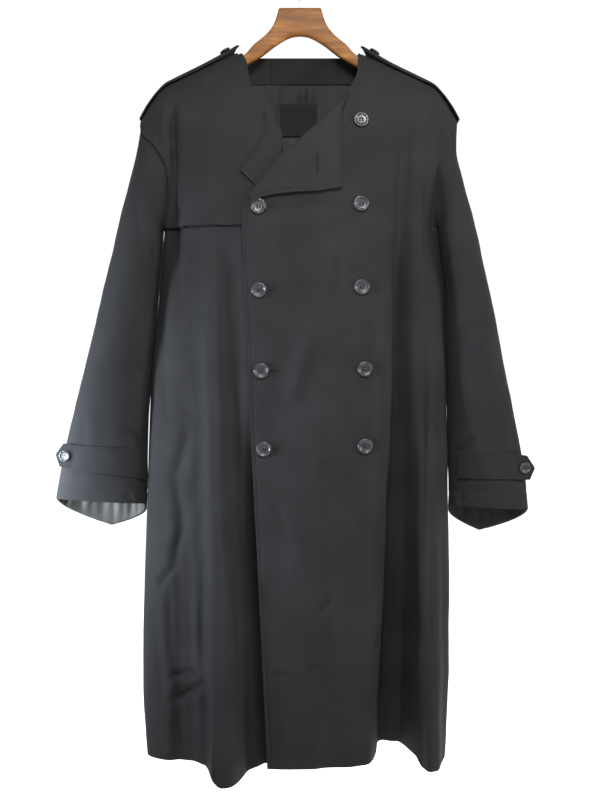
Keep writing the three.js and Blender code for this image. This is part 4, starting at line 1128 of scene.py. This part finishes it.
lapel_grid = turned_corner(OVER_EDGE, over_y, 0.146, 0.75, (-0.75, 0, 0.66), 3.4, LAPEL_EDGE, 81, 0.6)
flap_grid = turned_corner(UNDER_EDGE, under_y, 0.629, 0.25, (0.92, 0, 0.39), 3.3, FLAP_EDGE, 55, 0.4)
LAPEL_CREASES = [
    (20, -300, 50, -330, 4, 0.8, 9),
    (-20, -360, 30, -345, 4, 0.7, 9),
]
corners = {}
for name, panel, grid, creases, seed in (
    ("lapel_left", "cloth_front_left", lapel_grid, LAPEL_CREASES, 31),
    ("lapel_right", "cloth_front_right", flap_grid, [], 33),
):
    fade, _, down = edge_fade(grid, end=0, top=24)
    grid = dress(grid, FRONT, creases, seed, 0.5 * fade, groove(down[-1:] - down))
    obj = wall_mesh("cloth_" + name, draw_back(grid, top=0.4), FRONT, CLOTH, facing, grid_uv(grid))
    finish_cloth(obj, [name], grid, corner=True)
    corners[name] = grid

# %% [markdown]
# ## Inside the neck
#
# The open neck shows a facing of coat cloth with two short seams, the satin lining below it with
# soft upright wrinkles, and a bare black label.

# %% Inside pieces
BACK_INSET = CLOTH / 2 + 1.3 + LINING / 2


def inside_back(x_from, x_to, top, bottom, columns, rows, inset):
    """Part of the back's surface between two levels, moved in."""
    x, level = np.meshgrid(np.linspace(x_from, x_to, columns), np.linspace(top, bottom, rows))
    z = height_at(x, level, back_hem)
    return np.stack([x, back_y(x, z) - inset, z], axis=-1)


band_grid = inside_back(-93, 93, 0.966, 0.845, 110, 26, BACK_INSET + 1.6)
bx = band_grid[..., 0]
for seam_x in (-51.5, 64.0):
    band_grid[..., 1] += 1.5 * np.exp(-(((bx - seam_x) / 1.8) ** 2))
band_grid = raise_neck(band_grid)
band_grid[..., 1] -= 0.35 * drift(bx, band_grid[..., 2], 40, 40)
band = wall_mesh("cloth_neck_facing", band_grid, FRONT, LINING, facing, grid_uv(band_grid))
finish_cloth(band, ["neck_facing"], band_grid)

lining_grid = raise_neck(inside_back(-90, 90, 0.862, 0.34, 140, 60, BACK_INSET))
lx, lz = lining_grid[..., 0], lining_grid[..., 2]
LINING_CREASES = [
    (0, -176, 2, -262, 2, 2.4, 3.2),
    (10, -172, 16, -250, 2, 2.8, 3),
    (25, -176, 31, -300, 3, 2.6, 3.6),
    (-30, -174, -36, -280, 3, 2.0, 4),
    (-56, -196, -50, -300, 3, -1.2, 6),
    (44, -196, 40, -320, 3, 1.4, 5),
    (-20, -262, 30, -330, 4, -1.6, 6),
]
lining_grid[..., 1] -= crease_depth(LINING_CREASES, lx, lz)
lining_grid[..., 1] -= 0.3 * drift(lx, lz, 26, 44)
lining = wall_mesh("cloth_back_lining", lining_grid, FRONT, LINING, satin, grid_uv(lining_grid))
finish_cloth(lining, ["back_lining"], lining_grid)

label_top, label_bottom = (float(level_at(-3.0, z)) for z in (-208.0, -262.0))
label_grid = inside_back(-34, 28, label_top, label_bottom, 34, 30, BACK_INSET + LINING / 2 + SEATED + 1.4)
label = wall_mesh("cloth_neck_label", label_grid, FRONT, LABEL, label_cloth, grid_uv(label_grid))
finish_cloth(label, ["neck_label"], label_grid)


# %% Lining of the cuffs
CUFF_ROWS = slice(130, 161)  # rows of a sleeve's grid that have the lining inside them


def cuff_lining(grid, sign, seed):
    """Rings at the end of the sleeve moved inwards, with small irregular gathers where the lining
    is eased into the hem."""
    part = grid[CUFF_ROWS]
    n, _ = grid_normals(grid, SIDEWAYS[sign], ring=True)
    inward = CLOTH / 2 + SEATED + LINING / 2
    turns = np.linspace(0, 2 * np.pi, RING, endpoint=False)
    t = np.linspace(0, 1, len(part))[:, None]
    gather = 0.9 * np.sin(13 * turns + 2 * np.sin(3 * turns + seed)) + 0.6 * np.sin(27 * turns + seed)
    gather = gather + 0.5 * np.sin(9 * turns + 7 * t + seed)
    bell = smooth(t / 0.3) * (0.15 + 0.85 * smooth((1 - t) / 0.3))
    return part - n[CUFF_ROWS] * (inward + (1.9 + gather * 1.5) * bell)[..., None]


for name, grid, sign, seed in (
    ("cuff_lining_left", sleeve_left_cloth, 1, 0.4),
    ("cuff_lining_right", sleeve_right_cloth, -1, 1.9),
):
    inner = cuff_lining(grid, sign, seed)
    uv = grid_uv(inner, ring=True)
    obj = wall_mesh("cloth_" + name, inner, SIDEWAYS[sign], LINING, satin, uv, ring=True)
    finish_cloth(obj, [name], inner, ring=True)

# %% [markdown]
# ## Straps
#
# The epaulettes ride along the shoulder seams and bend down over them. The cuff straps start
# under the arm, cross the front of the sleeve and end in a point past its outer edge, held by a
# button. Both are two layers, stitched round close to the edge.

# %% Epaulettes
EPAULETTE = table("x lift half drop", [
    (263, 2.8, 22, 0.5), (253, 3, 22.5, 0.8), (241, 3.3, 23, 2.2), (225, 3.8, 22.5, 5),
    (200, 4.3, 22, 7.5), (175, 5, 21.5, 8), (150, 6.6, 21, 8), (124, 9.4, 20.5, 8),
    (111, 11.4, 20, 8), (99, 13.2, 2, 8),
])
EPAULETTE_ON_STORM = 1.9
EPAULETTE_BUTTON_X = 124.0


def epaulette_grid(sign):
    """Along the shoulder seam: the middle line lifted off it; across: a parabola that bends
    down over the shoulder."""
    x = np.concatenate([[263, 262.2], np.linspace(260, 112, 60), np.linspace(111, 99, 9)])
    half = np.interp(x, EPAULETTE["x"][::-1], EPAULETTE["half"][::-1])
    lift, drop = (read(EPAULETTE, "x", c, x) for c in ("lift", "drop"))
    slope = (shoulder_z(x + 3) - shoulder_z(x - 3)) / 6
    up = unit(np.stack([-sign * slope, 0 * x, 1 + 0 * x], axis=-1))
    extra = EPAULETTE_ON_STORM if sign < 0 else 0
    middle = np.stack([sign * x, 0 * x, shoulder_z(x)], axis=-1) + up * (lift + extra)[:, None]
    t = np.concatenate([[-1, -0.97], np.linspace(-0.9, 0.9, 19), [0.97, 1]])
    y = half[:, None] * t
    fall = drop[:, None] * (y / 22) ** 2
    grid = middle[:, None, :] - up[:, None, :] * fall[..., None]
    grid[..., 1] = y
    return grid


epaulettes = {}
for side, sign in (("left", 1), ("right", -1)):
    grid = epaulette_grid(sign)
    edge = np.abs(grid[:, :1, 1]) - np.abs(grid[..., 1])
    n, _ = grid_normals(grid, UP)
    dent = groove(edge, at=STRAP_STITCH, depth=0.35)
    dent = dent + 0.2 * drift(grid[..., 0], grid[..., 1], 60, 50)
    grid = grid + n * dent[..., None]
    epaulettes[side] = grid
    obj = wall_mesh("cloth_epaulette_" + side, grid, UP, FOLDED, gabardine, grid_uv(grid))
    finish_cloth(obj, ["epaulette_" + side], grid)

# %% Cuff straps
STRAP_TURN = 48.0
STRAP_RUNS = {
    "right": {"from": 164, "top": (0.826, 0.825), "bottom": (0.913, 0.889), "tip": 31},
    "left": {"from": 140, "top": (0.829, 0.845), "bottom": (0.907, 0.914), "tip": 35},
}


def strap_grid(rows, sign, run):
    """On the sleeve's rings between two shares of its length, moved out; then a straight end
    that runs on past the sleeve and narrows to a blunt point."""
    t = np.concatenate([[0, 0.006], np.linspace(0.02, 1, 54)])
    v = np.concatenate([[0, 0.02], np.linspace(0.06, 0.94, 15), [0.98, 1]])
    turn = mix(run["from"], STRAP_TURN, t)[:, None] + 0 * v
    top, bottom = mix(*run["top"], t)[:, None], mix(*run["bottom"], t)[:, None]
    share = mix(top, bottom, v)
    p = ring_points(rows, sign, turn, share)
    q = ring_points(rows, sign, turn - 2, share)
    r = ring_points(rows, sign, turn, share + 0.01)
    n = unit(np.cross(q - p, r - p))
    n = np.where(n[..., 1:2] > 0, -n, n)
    body = p + n * (CLOTH / 2 + SEATED + FOLDED / 2)
    last, before = body[-1], body[-6]
    middle = last.mean(axis=0)
    step = middle - before.mean(axis=0)
    step[1] *= 0.6
    step = unit(step)
    reach = np.concatenate([np.linspace(0.05, 0.68, 10), np.linspace(0.72, 1, 9)])
    narrow = np.interp(reach, [0.4, 0.68, 1], [1, 0.97, 0.06])
    end = middle + (last - middle) * narrow[:, None, None] + step * (reach * run["tip"])[:, None, None]
    return np.concatenate([body, end]), len(body)


straps = {}
for side, rows, sign in (("left", SLEEVE_RIGHT, 1), ("right", SLEEVE_LEFT, -1)):
    grid, joined = strap_grid(rows, sign, STRAP_RUNS[side])
    width = run_along(grid, axis=1)
    edge = np.minimum(width, width[:, -1:] - width)
    n, _ = grid_normals(grid, FRONT)
    along = np.linspace(0, 190, len(grid))[:, None] + 0 * edge
    dent = groove(edge, at=STRAP_STITCH, depth=0.35) + 0.35 * drift(along, edge, 55, 60)
    grid = grid + n * dent[..., None]
    straps[side] = (grid, joined)
    obj = wall_mesh("cloth_cuff_strap_" + side, grid, FRONT, FOLDED, gabardine, grid_uv(grid))
    finish_cloth(obj, ["cuff_strap_" + side], grid)

# %% [markdown]
# ## Buttons
#
# A coat button is turned: a flat back, a thick raised rim, a dished middle and four holes, with
# the thread crossed over them. It is a profile spun round its axis, and the holes are pits in the
# dish.


# %% Button maker
DISH_ROWS, DISH_HIGH = 17, 0.6  # rings of points in the dish, and its share of the height
HOLE_ASIDE = 0.16  # of the radius, both ways from the middle to a hole


def button_mesh(name, radius, height, point, axis, node_name):
    """Height over the disc as a function of the radius and angle: the rim's hump, the dish, and
    four pits; the sides and back close it. Returns the two bars of thread that join the holes:
    start, end, axis and height."""
    turns = np.linspace(0, 2 * np.pi, 56, endpoint=False)
    r = np.concatenate([
        np.linspace(0.02, 0.42, DISH_ROWS), [0.5, 0.6, 0.66, 0.72, 0.78, 0.84, 0.9, 0.95, 0.985],
        [1.0, 0.99, 0.95, 0.88, 0.8, 0.5, 0.02],
    ]) * radius
    h = np.concatenate([
        np.full(DISH_ROWS, DISH_HIGH), [0.61, 0.64, 0.7, 0.84, 0.95, 1.0, 0.97, 0.88, 0.74],
        [0.55, 0.4, 0.25, 0.1, 0.0, 0.0, 0.0],
    ]) * height
    top = np.arange(len(r)) < DISH_ROWS
    x, y = r[:, None] * np.cos(turns), r[:, None] * np.sin(turns)
    z = np.repeat(h[:, None], len(turns), axis=1)
    for hx, hy in ((1, 1), (1, -1), (-1, 1), (-1, -1)):
        d = np.hypot(x - hx * HOLE_ASIDE * radius, y - hy * HOLE_ASIDE * radius)
        pit = 1 - smooth((d - 0.075 * radius) / (0.05 * radius))
        z = z - np.where(top[:, None], pit * 0.45 * height, 0)
    axis = unit(np.asarray(axis, dtype=float))
    other = np.array((0.0, 0.3, 1.0)) if abs(axis[2]) < 0.8 else np.array((0.0, 1.0, 0.0))
    side = unit(np.cross(other, axis))
    other = np.cross(axis, side)
    points = point + x[..., None] * side + y[..., None] * other + z[..., None] * axis
    ids, wide = close_rings(len(points), len(turns))
    caps = [ids[0], ids[-1][::-1]]
    obj = put_mesh(name, points.reshape(-1, 3), grid_quads(wide.T), None, horn, caps=caps)
    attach(obj, "root")
    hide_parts(node_name)
    bars = []
    for one, two in (((1, 1), (1, -1)), ((-1, 1), (-1, -1))):
        ends = [point + HOLE_ASIDE * radius * (u * side + w * other) for u, w in (one, two)]
        bars.append((*ends, axis, DISH_HIGH * height))
    return bars


def on_cloth(grid, x, z):
    """Point and normal of a sheet's middle surface seen from the front at x, z."""
    n, _ = grid_normals(grid, FRONT)
    seen = np.hypot(grid[..., 0] - x, grid[..., 2] - z)
    i, j = np.unravel_index(np.argmin(seen), seen.shape)
    p, m = grid[i, j].copy(), n[i, j]
    y = p[1] - ((x - p[0]) * m[0] + (z - p[2]) * m[2]) / m[1]
    return np.array([x, y, z]), m


FRONT_BUTTON, SMALL_BUTTON = (12.5, 4.2), (9.5, 3.6)  # radius and height
BUTTONS = [
    ("button_inner_1", -67, -402), ("button_inner_2", -66, -537.5), ("button_inner_3", -62.5, -668),
    ("button_inner_4", -58.2, -794.5), ("button_outer_0", 99.5, -259), ("button_outer_1", 98.8, -397),
    ("button_outer_2", 99.8, -532.5), ("button_outer_3", 104.6, -665), ("button_outer_4", 105.3, -790),
]
thread_bars = []
for name, x, z in BUTTONS:
    point, normal = on_cloth(over_cloth, x, z)
    seat = point + normal * (CLOTH / 2 + SEATED)
    thread_bars += button_mesh("polished_" + name, *FRONT_BUTTON, seat, normal, name)
for side in ("left", "right"):
    strap, joined = straps[side]
    epaulette = epaulettes[side]
    out = np.abs(epaulette[:, epaulette.shape[1] // 2, 0])
    epaulette_row = int(np.argmin(np.abs(out - EPAULETTE_BUTTON_X)))
    for kind, grid, toward, row, space in (
        ("cuff", strap, FRONT, joined + 6, 0.9),
        ("epaulette", epaulette, UP, epaulette_row, SEATED),
    ):
        name = f"button_{kind}_{side}"
        middle = grid.shape[1] // 2
        normal = grid_normals(grid, toward)[0][row, middle]
        seat = grid[row, middle] + normal * (FOLDED / 2 + space)
        thread_bars += button_mesh("polished_" + name, *SMALL_BUTTON, seat, normal, name)
print("buttons:", len(BUTTONS) + 4)


# %% [markdown]
# ## Thread
#
# Each stitch is a tiny bar with sunk ends, 2.4 mm long, and a new one starts every 3.1 mm. There
# are hundreds of them, so one has only 22 faces, and the stitches of a piece are one mesh.


# %% Stitch maker
def bars_mesh(name, starts, ends, normals, thick, rise, material=thread):
    """Five-sided bars from start to end whose middle rises off the cloth."""
    turns = np.linspace(0, 2 * np.pi, 5, endpoint=False)
    along = unit(ends - starts)
    side = unit(np.cross(along, normals))
    rings = []
    for t, r, up in ((0, 0.35, -0.2), (0.25, 1, 0.7), (0.5, 1.05, 1), (0.75, 1, 0.7), (1, 0.35, -0.2)):
        centre = mix(starts, ends, t) + normals * rise * up
        ring = centre[:, None] + thick / 2 * r * (
            np.cos(turns)[None, :, None] * side[:, None] + np.sin(turns)[None, :, None] * normals[:, None]
        )
        rings.append(ring)
    points = np.stack(rings, axis=1)
    count = len(starts)
    ids = np.arange(count * 25).reshape(count, 5, 5)
    wide = np.concatenate([ids, ids[..., :1]], axis=2)
    caps = list(ids[:, 0, ::-1]) + list(ids[:, -1])
    p = points.reshape(-1, 3)
    quads, caps = face_out(p, grid_quads(wide), caps, points[0].mean(axis=(0, 1)))
    obj = put_mesh(name, p, quads, None, material, caps=caps)
    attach(obj, "root")


def line_on(grid, toward, edge, distance, lift):
    """Points and normals of a line on the outer face of a sheet, at a distance from an edge.
    Rows that are hardly longer than that distance are left out."""
    n, _ = grid_normals(grid, toward)
    g, m = (grid, n) if edge in ("start", "end") else (grid.swapaxes(0, 1), n.swapaxes(0, 1))
    if edge in ("end", "bottom"):
        g, m = g[:, ::-1], m[:, ::-1]
    points, normals = [], []
    for r, row, normal in zip(run_along(g, axis=1), g, m):
        if r[-1] < distance * 1.2:
            continue
        points.append([np.interp(distance, r, row[:, k]) for k in range(3)])
        normals.append([np.interp(distance, r, normal[:, k]) for k in range(3)])
    points, normals = np.array(points), unit(np.array(normals))
    return points + normals * lift, normals


def stitch_line(points, normals, pitch=3.1, long=2.4):
    """Starts and ends of stitches at even steps along a line."""
    length = run_along(points)
    at = np.arange(pitch, length[-1] - pitch, pitch)
    place = lambda s, values: np.stack([np.interp(s, length, values[:, k]) for k in range(3)], axis=-1)
    return place(at, points), place(at + long, points), unit(place(at + long / 2, normals))


STITCH_THICK, STITCH_RISE = 0.75, 0.25


def sew(name, lines):
    stitches = [stitch_line(*line) for line in lines]
    starts, ends, normals = (np.concatenate(part) for part in zip(*stitches))
    bars_mesh(name, starts, ends, normals, STITCH_THICK, STITCH_RISE)
    print(f"{name}: {len(starts)} stitches")


HALF = CLOTH / 2
fold_rows = int(np.argmin(np.abs(LEVELS - 0.13)))
sew("stitching_front_edge", [line_on(over_cloth[fold_rows:], FRONT, "start", EDGE_STITCH, HALF)])
for name, grid in (
    ("lapel", corners["lapel_left"]), ("flap", corners["lapel_right"]), ("storm_flap", storm_cloth)
):
    sew("stitching_" + name, [line_on(grid, FRONT, "bottom", EDGE_STITCH, HALF)])
for side in ("left", "right"):
    grid = epaulettes[side]
    lines = [line_on(grid[:63], UP, edge, STRAP_STITCH, FOLDED / 2) for edge in ("start", "end")]
    sew("stitching_epaulette_" + side, lines)
    grid, joined = straps[side]
    sides = grid[: joined + 12]
    lines = [line_on(sides, FRONT, edge, STRAP_STITCH, FOLDED / 2) for edge in ("start", "end")]
    lines.append(line_on(grid, FRONT, "top", STRAP_STITCH, FOLDED / 2))
    sew("stitching_cuff_strap_" + side, lines)
starts, ends, axes, heights = zip(*thread_bars)
axes = np.array(axes)
lift = axes * (np.array(heights)[:, None])
bars_mesh("thread_of_buttons", np.array(starts) + lift, np.array(ends) + lift, axes, 1.1, STITCH_RISE)


# %% [markdown]
# ## Buttonholes
#
# A buttonhole is a slit with thread wound closely round it. Only the end past the button shows,
# and the whole one on the turned corner. The winding is drawn as one plain tube along a long
# loop, because its turns are too fine to show.


# %% Tubes and buttonholes
def tube_mesh(name, path, radius, material, closed=False, sides=8, up=(0, 0, 1)):
    """Rings of points round a path; radius may change along it."""
    path = np.asarray(path, dtype=float)
    radius = np.broadcast_to(np.asarray(radius, dtype=float), (len(path),))
    if closed:
        along = unit(np.roll(path, -1, axis=0) - np.roll(path, 1, axis=0))
    else:
        along = unit(np.gradient(path, axis=0))
    side = unit(np.cross(along, np.asarray(up, dtype=float)))
    other = np.cross(side, along)
    turns = np.linspace(0, 2 * np.pi, sides, endpoint=False)
    ring = np.cos(turns)[None, :, None] * side[:, None] + np.sin(turns)[None, :, None] * other[:, None]
    points = path[:, None] + radius[:, None, None] * ring
    ids, wide = close_rings(len(points), sides)
    if closed:
        wide = np.concatenate([wide, wide[:1]], axis=0)
    caps = [] if closed else [ids[0][::-1], ids[-1]]
    p = points.reshape(-1, 3)
    quads, caps = face_out(p, grid_quads(wide), caps, path[:2].mean(axis=0))
    return put_mesh(name, p, quads, None, material, caps=caps)


def place_on(grid, x, z):
    """A place on a sheet, the ways right and up along it, and its normal."""
    base, n = on_cloth(grid, x, z)
    right = unit(np.cross(n, UP))
    right = right if right[0] > 0 else -right
    up = np.cross(n, right)
    return base, right, (up if up[2] > 0 else -up), n


LOOP_POINTS = 150
WINDING_RADIUS = 0.62


def buttonhole(name, grid, x, z, turn, length, eye=0.0):
    """Loop of two long sides 1.1 mm off the slit, wider at an eye, wound with thread."""
    s = np.linspace(0, 2 * np.pi, LOOP_POINTS, endpoint=False)
    a = np.cos(s) * length / 2
    half = 1.1 + eye * np.exp(-(((a + length / 2 - 1.5) / 2.2) ** 2))
    b = np.sign(np.sin(s)) * np.abs(np.sin(s)) ** 0.25 * half
    c, d = np.cos(turn), np.sin(turn)
    base, right, up, n = place_on(grid, x, z)
    u, w = a * c - b * d, a * d + b * c
    path = base + u[:, None] * right + w[:, None] * up + n * (CLOTH / 2 + 0.25)
    obj = tube_mesh(name, path, WINDING_RADIUS, thread, closed=True, sides=6, up=n)
    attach(obj, "root")


# The slit only shows as a black line: a near-black bar, painted shadow of the gap between the wound edges.
slit_shadow_black = mottled(
    "slit_painted_shadow", "#09090A", {"Scale": 1200.0, "Detail": 1.0},
    [(0.35, "#060607"), (0.7, "#101012")], Roughness=0.95, Specular_IOR_Level=0.1,
)[0]


# Lays the near-black bar of painted shadow along a slit.
def slit(name, grid, x, z, turn, length):
    base, right, up, n = place_on(grid, x, z)
    along = (np.cos(turn) * right + np.sin(turn) * up) * length / 2
    middle = base + n * (CLOTH / 2 + 0.2)
    bars_mesh(name, (middle - along)[None], (middle + along)[None], n[None], 1.5, 0.1, slit_shadow_black)


FRONT_HOLES = [(over_cloth, x + 13, z + 0.5, 0.02) for _, x, z in BUTTONS[:4]]
LAPEL_HOLE = (corners["lapel_left"], 28.2, -331.5, np.pi / 2 + 0.02)
slit("slit_lapel", *LAPEL_HOLE, 33)
for i, place in enumerate(FRONT_HOLES, start=1):
    slit(f"slit_{i}", *place, 24)
for i, place in enumerate(FRONT_HOLES, start=1):
    buttonhole(f"buttonhole_{i}", *place, 25)
buttonhole("buttonhole_lapel", *LAPEL_HOLE, 34, eye=1.6)

# %% [markdown]
# ## The hanger
#
# A flat board, cut to a tall arched neck and two long arms and rounded at every edge. For every
# x the board is one rounded box between its top and bottom line. The hook is a wire bent from a
# stem to an open ring.

# %% Board
WOOD_TOP = table("x z", [
    (0, -57.3), (20, -57.3), (32, -57.35), (35.5, -58.6), (36.8, -63), (38.8, -70.6),
    (42.5, -81), (48.5, -92), (60, -104.5), (78, -119.5), (90.5, -133.5), (98, -138.4),
    (134, -152.7), (161, -164.2), (188, -176.2), (208, -185.7), (219, -191.6), (222.5, -195),
])
WOOD_BOTTOM = table("x z", [
    (0, -104.4), (10, -105.4), (19.5, -108.4), (40.3, -120.5), (62.5, -137.3), (90, -154),
    (134, -177.7), (188, -197), (212, -206), (222.5, -208.2),
])
BOARD_HALF = 6.5  # half its thickness
BOARD_SIDES = 36  # points round its section
BOARD_SQUARE = 0.36  # exponent of the section: 1 is an oval, 0 a rectangle
END_START, END_LENGTH = 216, 6.6  # each tip rounds off over this length
x_half = np.concatenate([
    np.linspace(0, 34, 30), np.linspace(34.4, 39, 22)[1:], np.linspace(39.5, 100, 50)[1:],
    np.linspace(101, 218, 90), np.linspace(218.6, 222.4, 9),
])
board_x = np.concatenate([-x_half[:0:-1], x_half])
top, bottom = (read(t, "x", "z", np.abs(board_x)) for t in (WOOD_TOP, WOOD_BOTTOM))
to_end = np.clip((np.abs(board_x) - END_START) / END_LENGTH, 0, 1)
end_round = np.sqrt(np.clip(1 - to_end**2, 0.01, 1))
turns = np.linspace(0, 2 * np.pi, BOARD_SIDES, endpoint=False)
c, s = np.cos(turns), np.sin(turns)
high = np.sign(s) * np.abs(s) ** BOARD_SQUARE
deep = np.sign(c) * np.abs(c) ** BOARD_SQUARE
board = np.stack([
    np.repeat(board_x[:, None], BOARD_SIDES, axis=1),
    BOARD_HALF * deep[None, :] * end_round[:, None],
    ((top + bottom) / 2)[:, None] + ((top - bottom) / 2 * end_round)[:, None] * high[None, :],
], axis=-1)
ids, wide = close_rings(len(board_x), BOARD_SIDES)
quads, caps = grid_quads(wide.T)[:, ::-1], [ids[0], ids[-1][::-1]]
wood = put_mesh("beech_board", board.reshape(-1, 3), quads, None, beech, caps=caps)
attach(wood, "root")
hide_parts("hanger_wood")

# %% Hook
WIRE_RADIUS = 1.6
BEND_RADIUS, BEND_Z = 18.6, -17
HOOK_POINTS, TIP_START, TIP_LENGTH = 220, 213, 6.2  # its last points round the wire's end off
stem = np.array([(0, -56.64), (0, -50), (0.6, -43), (4, -37.5)])
ring_turn = np.radians(np.arange(-62, 206, 16))
ring_xz = np.stack([BEND_RADIUS * np.cos(ring_turn), BEND_Z + BEND_RADIUS * np.sin(ring_turn)], axis=-1)
bend = np.concatenate([stem, ring_xz])
length = run_along(bend)
fine = curve(length, bend, np.linspace(0, length[-1], HOOK_POINTS))
path = np.stack([fine[:, 0], 0 * fine[:, 0], fine[:, 1]], axis=-1)
to_tip = np.clip((np.arange(HOOK_POINTS) - TIP_START) / TIP_LENGTH, 0, 1)
thick = WIRE_RADIUS * np.sqrt(np.clip(1 - to_tip**2, 0.02, 1))
hook = tube_mesh("wire_hook", path, thick, wire, sides=14, up=(0, 1, 0))
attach(hook, "root")
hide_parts("hanger_hook")

# %% [markdown]
# ## Studio
#
# The coat hangs over a pale floor, in a room that is white behind it and grey in front. With
# little light from the room in front, and the main light close above the camera, every wall of
# a fold that turns aside goes dark, which is how the folds can be read.

# %% Floor, lights and camera
# Vinyl is a little uneven. Behind the coat it is lit from below, and so it is white there.
paper, paper_tree, paper_shader = mottled(
    "white_floor_vinyl", "#F4F4F4", {"Scale": 1.5, "Detail": 2.0},
    [(0.3, "#F1F1F1"), (0.7, "#F7F7F7")], Roughness=0.9, Specular_IOR_Level=0.1,
)
paper_shader.inputs["Emission Color"].default_value = (1, 1, 1, 1)
paper_place = node(paper_tree, "ShaderNodeTexCoord").outputs["Object"]
behind = node(paper_tree, "ShaderNodeSeparateXYZ", {}, {"Vector": paper_place}).outputs["Y"]
glow = node(paper_tree, "ShaderNodeMapRange", {1: -0.3, 2: 0.25, 3: 0.0, 4: 0.95}, {"Value": behind})
paper_tree.links.new(glow.outputs["Result"], paper_shader.inputs["Emission Strength"])
FLOOR_REACH, FLOOR_Z = 200000, -1470
ways = np.array([(-1, -1), (1, -1), (1, 1), (-1, 1)]) * FLOOR_REACH
floor_points = np.column_stack([ways, np.full(4, float(FLOOR_Z))])
floor = put_mesh("studio_floor", floor_points, np.array([[0, 1, 2, 3]]), None, paper)


def soft_light(name, place, aim, size, power, colour="#FFFFFF", spread=180):
    """Soft box; a spread below 180 degrees keeps its light together, as a honeycomb grid does."""
    light = bpy.data.lights.new(name, "AREA")
    light.shape = "RECTANGLE"
    light.size, light.size_y = size
    light.energy = power
    light.spread = np.radians(spread)
    light.color = linear(colour)[:3]
    obj = bpy.data.objects.new(name, light)
    bpy.context.scene.collection.objects.link(obj)
    obj.location = place
    direction = np.array(aim, dtype=float) - np.array(place, dtype=float)
    tilt = np.arctan2(np.hypot(direction[0], direction[1]), -direction[2])
    obj.rotation_euler = (tilt, 0, np.arctan2(-direction[0], direction[1]))


soft_light("light_high_front", (0.05, -1.45, 0.45), (0, 0, -0.5), (0.6, 0.45), 40)
soft_light("light_left", (-1.9, -0.5, -0.85), (-0.47, 0, -0.8), (0.4, 0.7), 5.0, "#DCE8F6", 24)
soft_light("light_left_cuff", (-1.7, -1.2, -0.95), (-0.56, 0, -0.93), (0.15, 0.4), 6.0, "#DCE8F6", 12)
soft_light("light_right", (2.1, -1.15, 0.0), (0.3, 0, -0.5), (0.6, 0.6), 42)
soft_light("light_back", (0.4, 2.2, 0.6), (0, 0, -0.6), (0.8, 0.8), 30)

world = bpy.data.worlds.new("white_studio")
bpy.context.scene.world = world
world.use_nodes = True
world.node_tree.nodes["Background"].inputs["Color"].default_value = (1, 1, 1, 1)
# The room is white behind the coat and grey in front of it.
room = world.node_tree
way = node(room, "ShaderNodeTexCoord").outputs["Generated"]
way_y = node(room, "ShaderNodeSeparateXYZ", {}, {"Vector": way}).outputs["Y"]
whiteness = node(room, "ShaderNodeMapRange", {1: 0.5, 2: 0.88, 3: 0.25, 4: 1.05}, {"Value": way_y})
room.links.new(whiteness.outputs["Result"], room.nodes["Background"].inputs["Strength"])

camera_data = bpy.data.cameras.new("camera")
camera_data.lens = 58.93
camera_data.sensor_width = 36
camera = bpy.data.objects.new("camera", camera_data)
bpy.context.scene.collection.objects.link(camera)
camera.location = (0, -2.2, -0.7152)
camera.rotation_euler = (np.pi / 2, 0, 0)
bpy.context.scene.camera = camera
bpy.context.scene.view_settings.view_transform = "Standard"
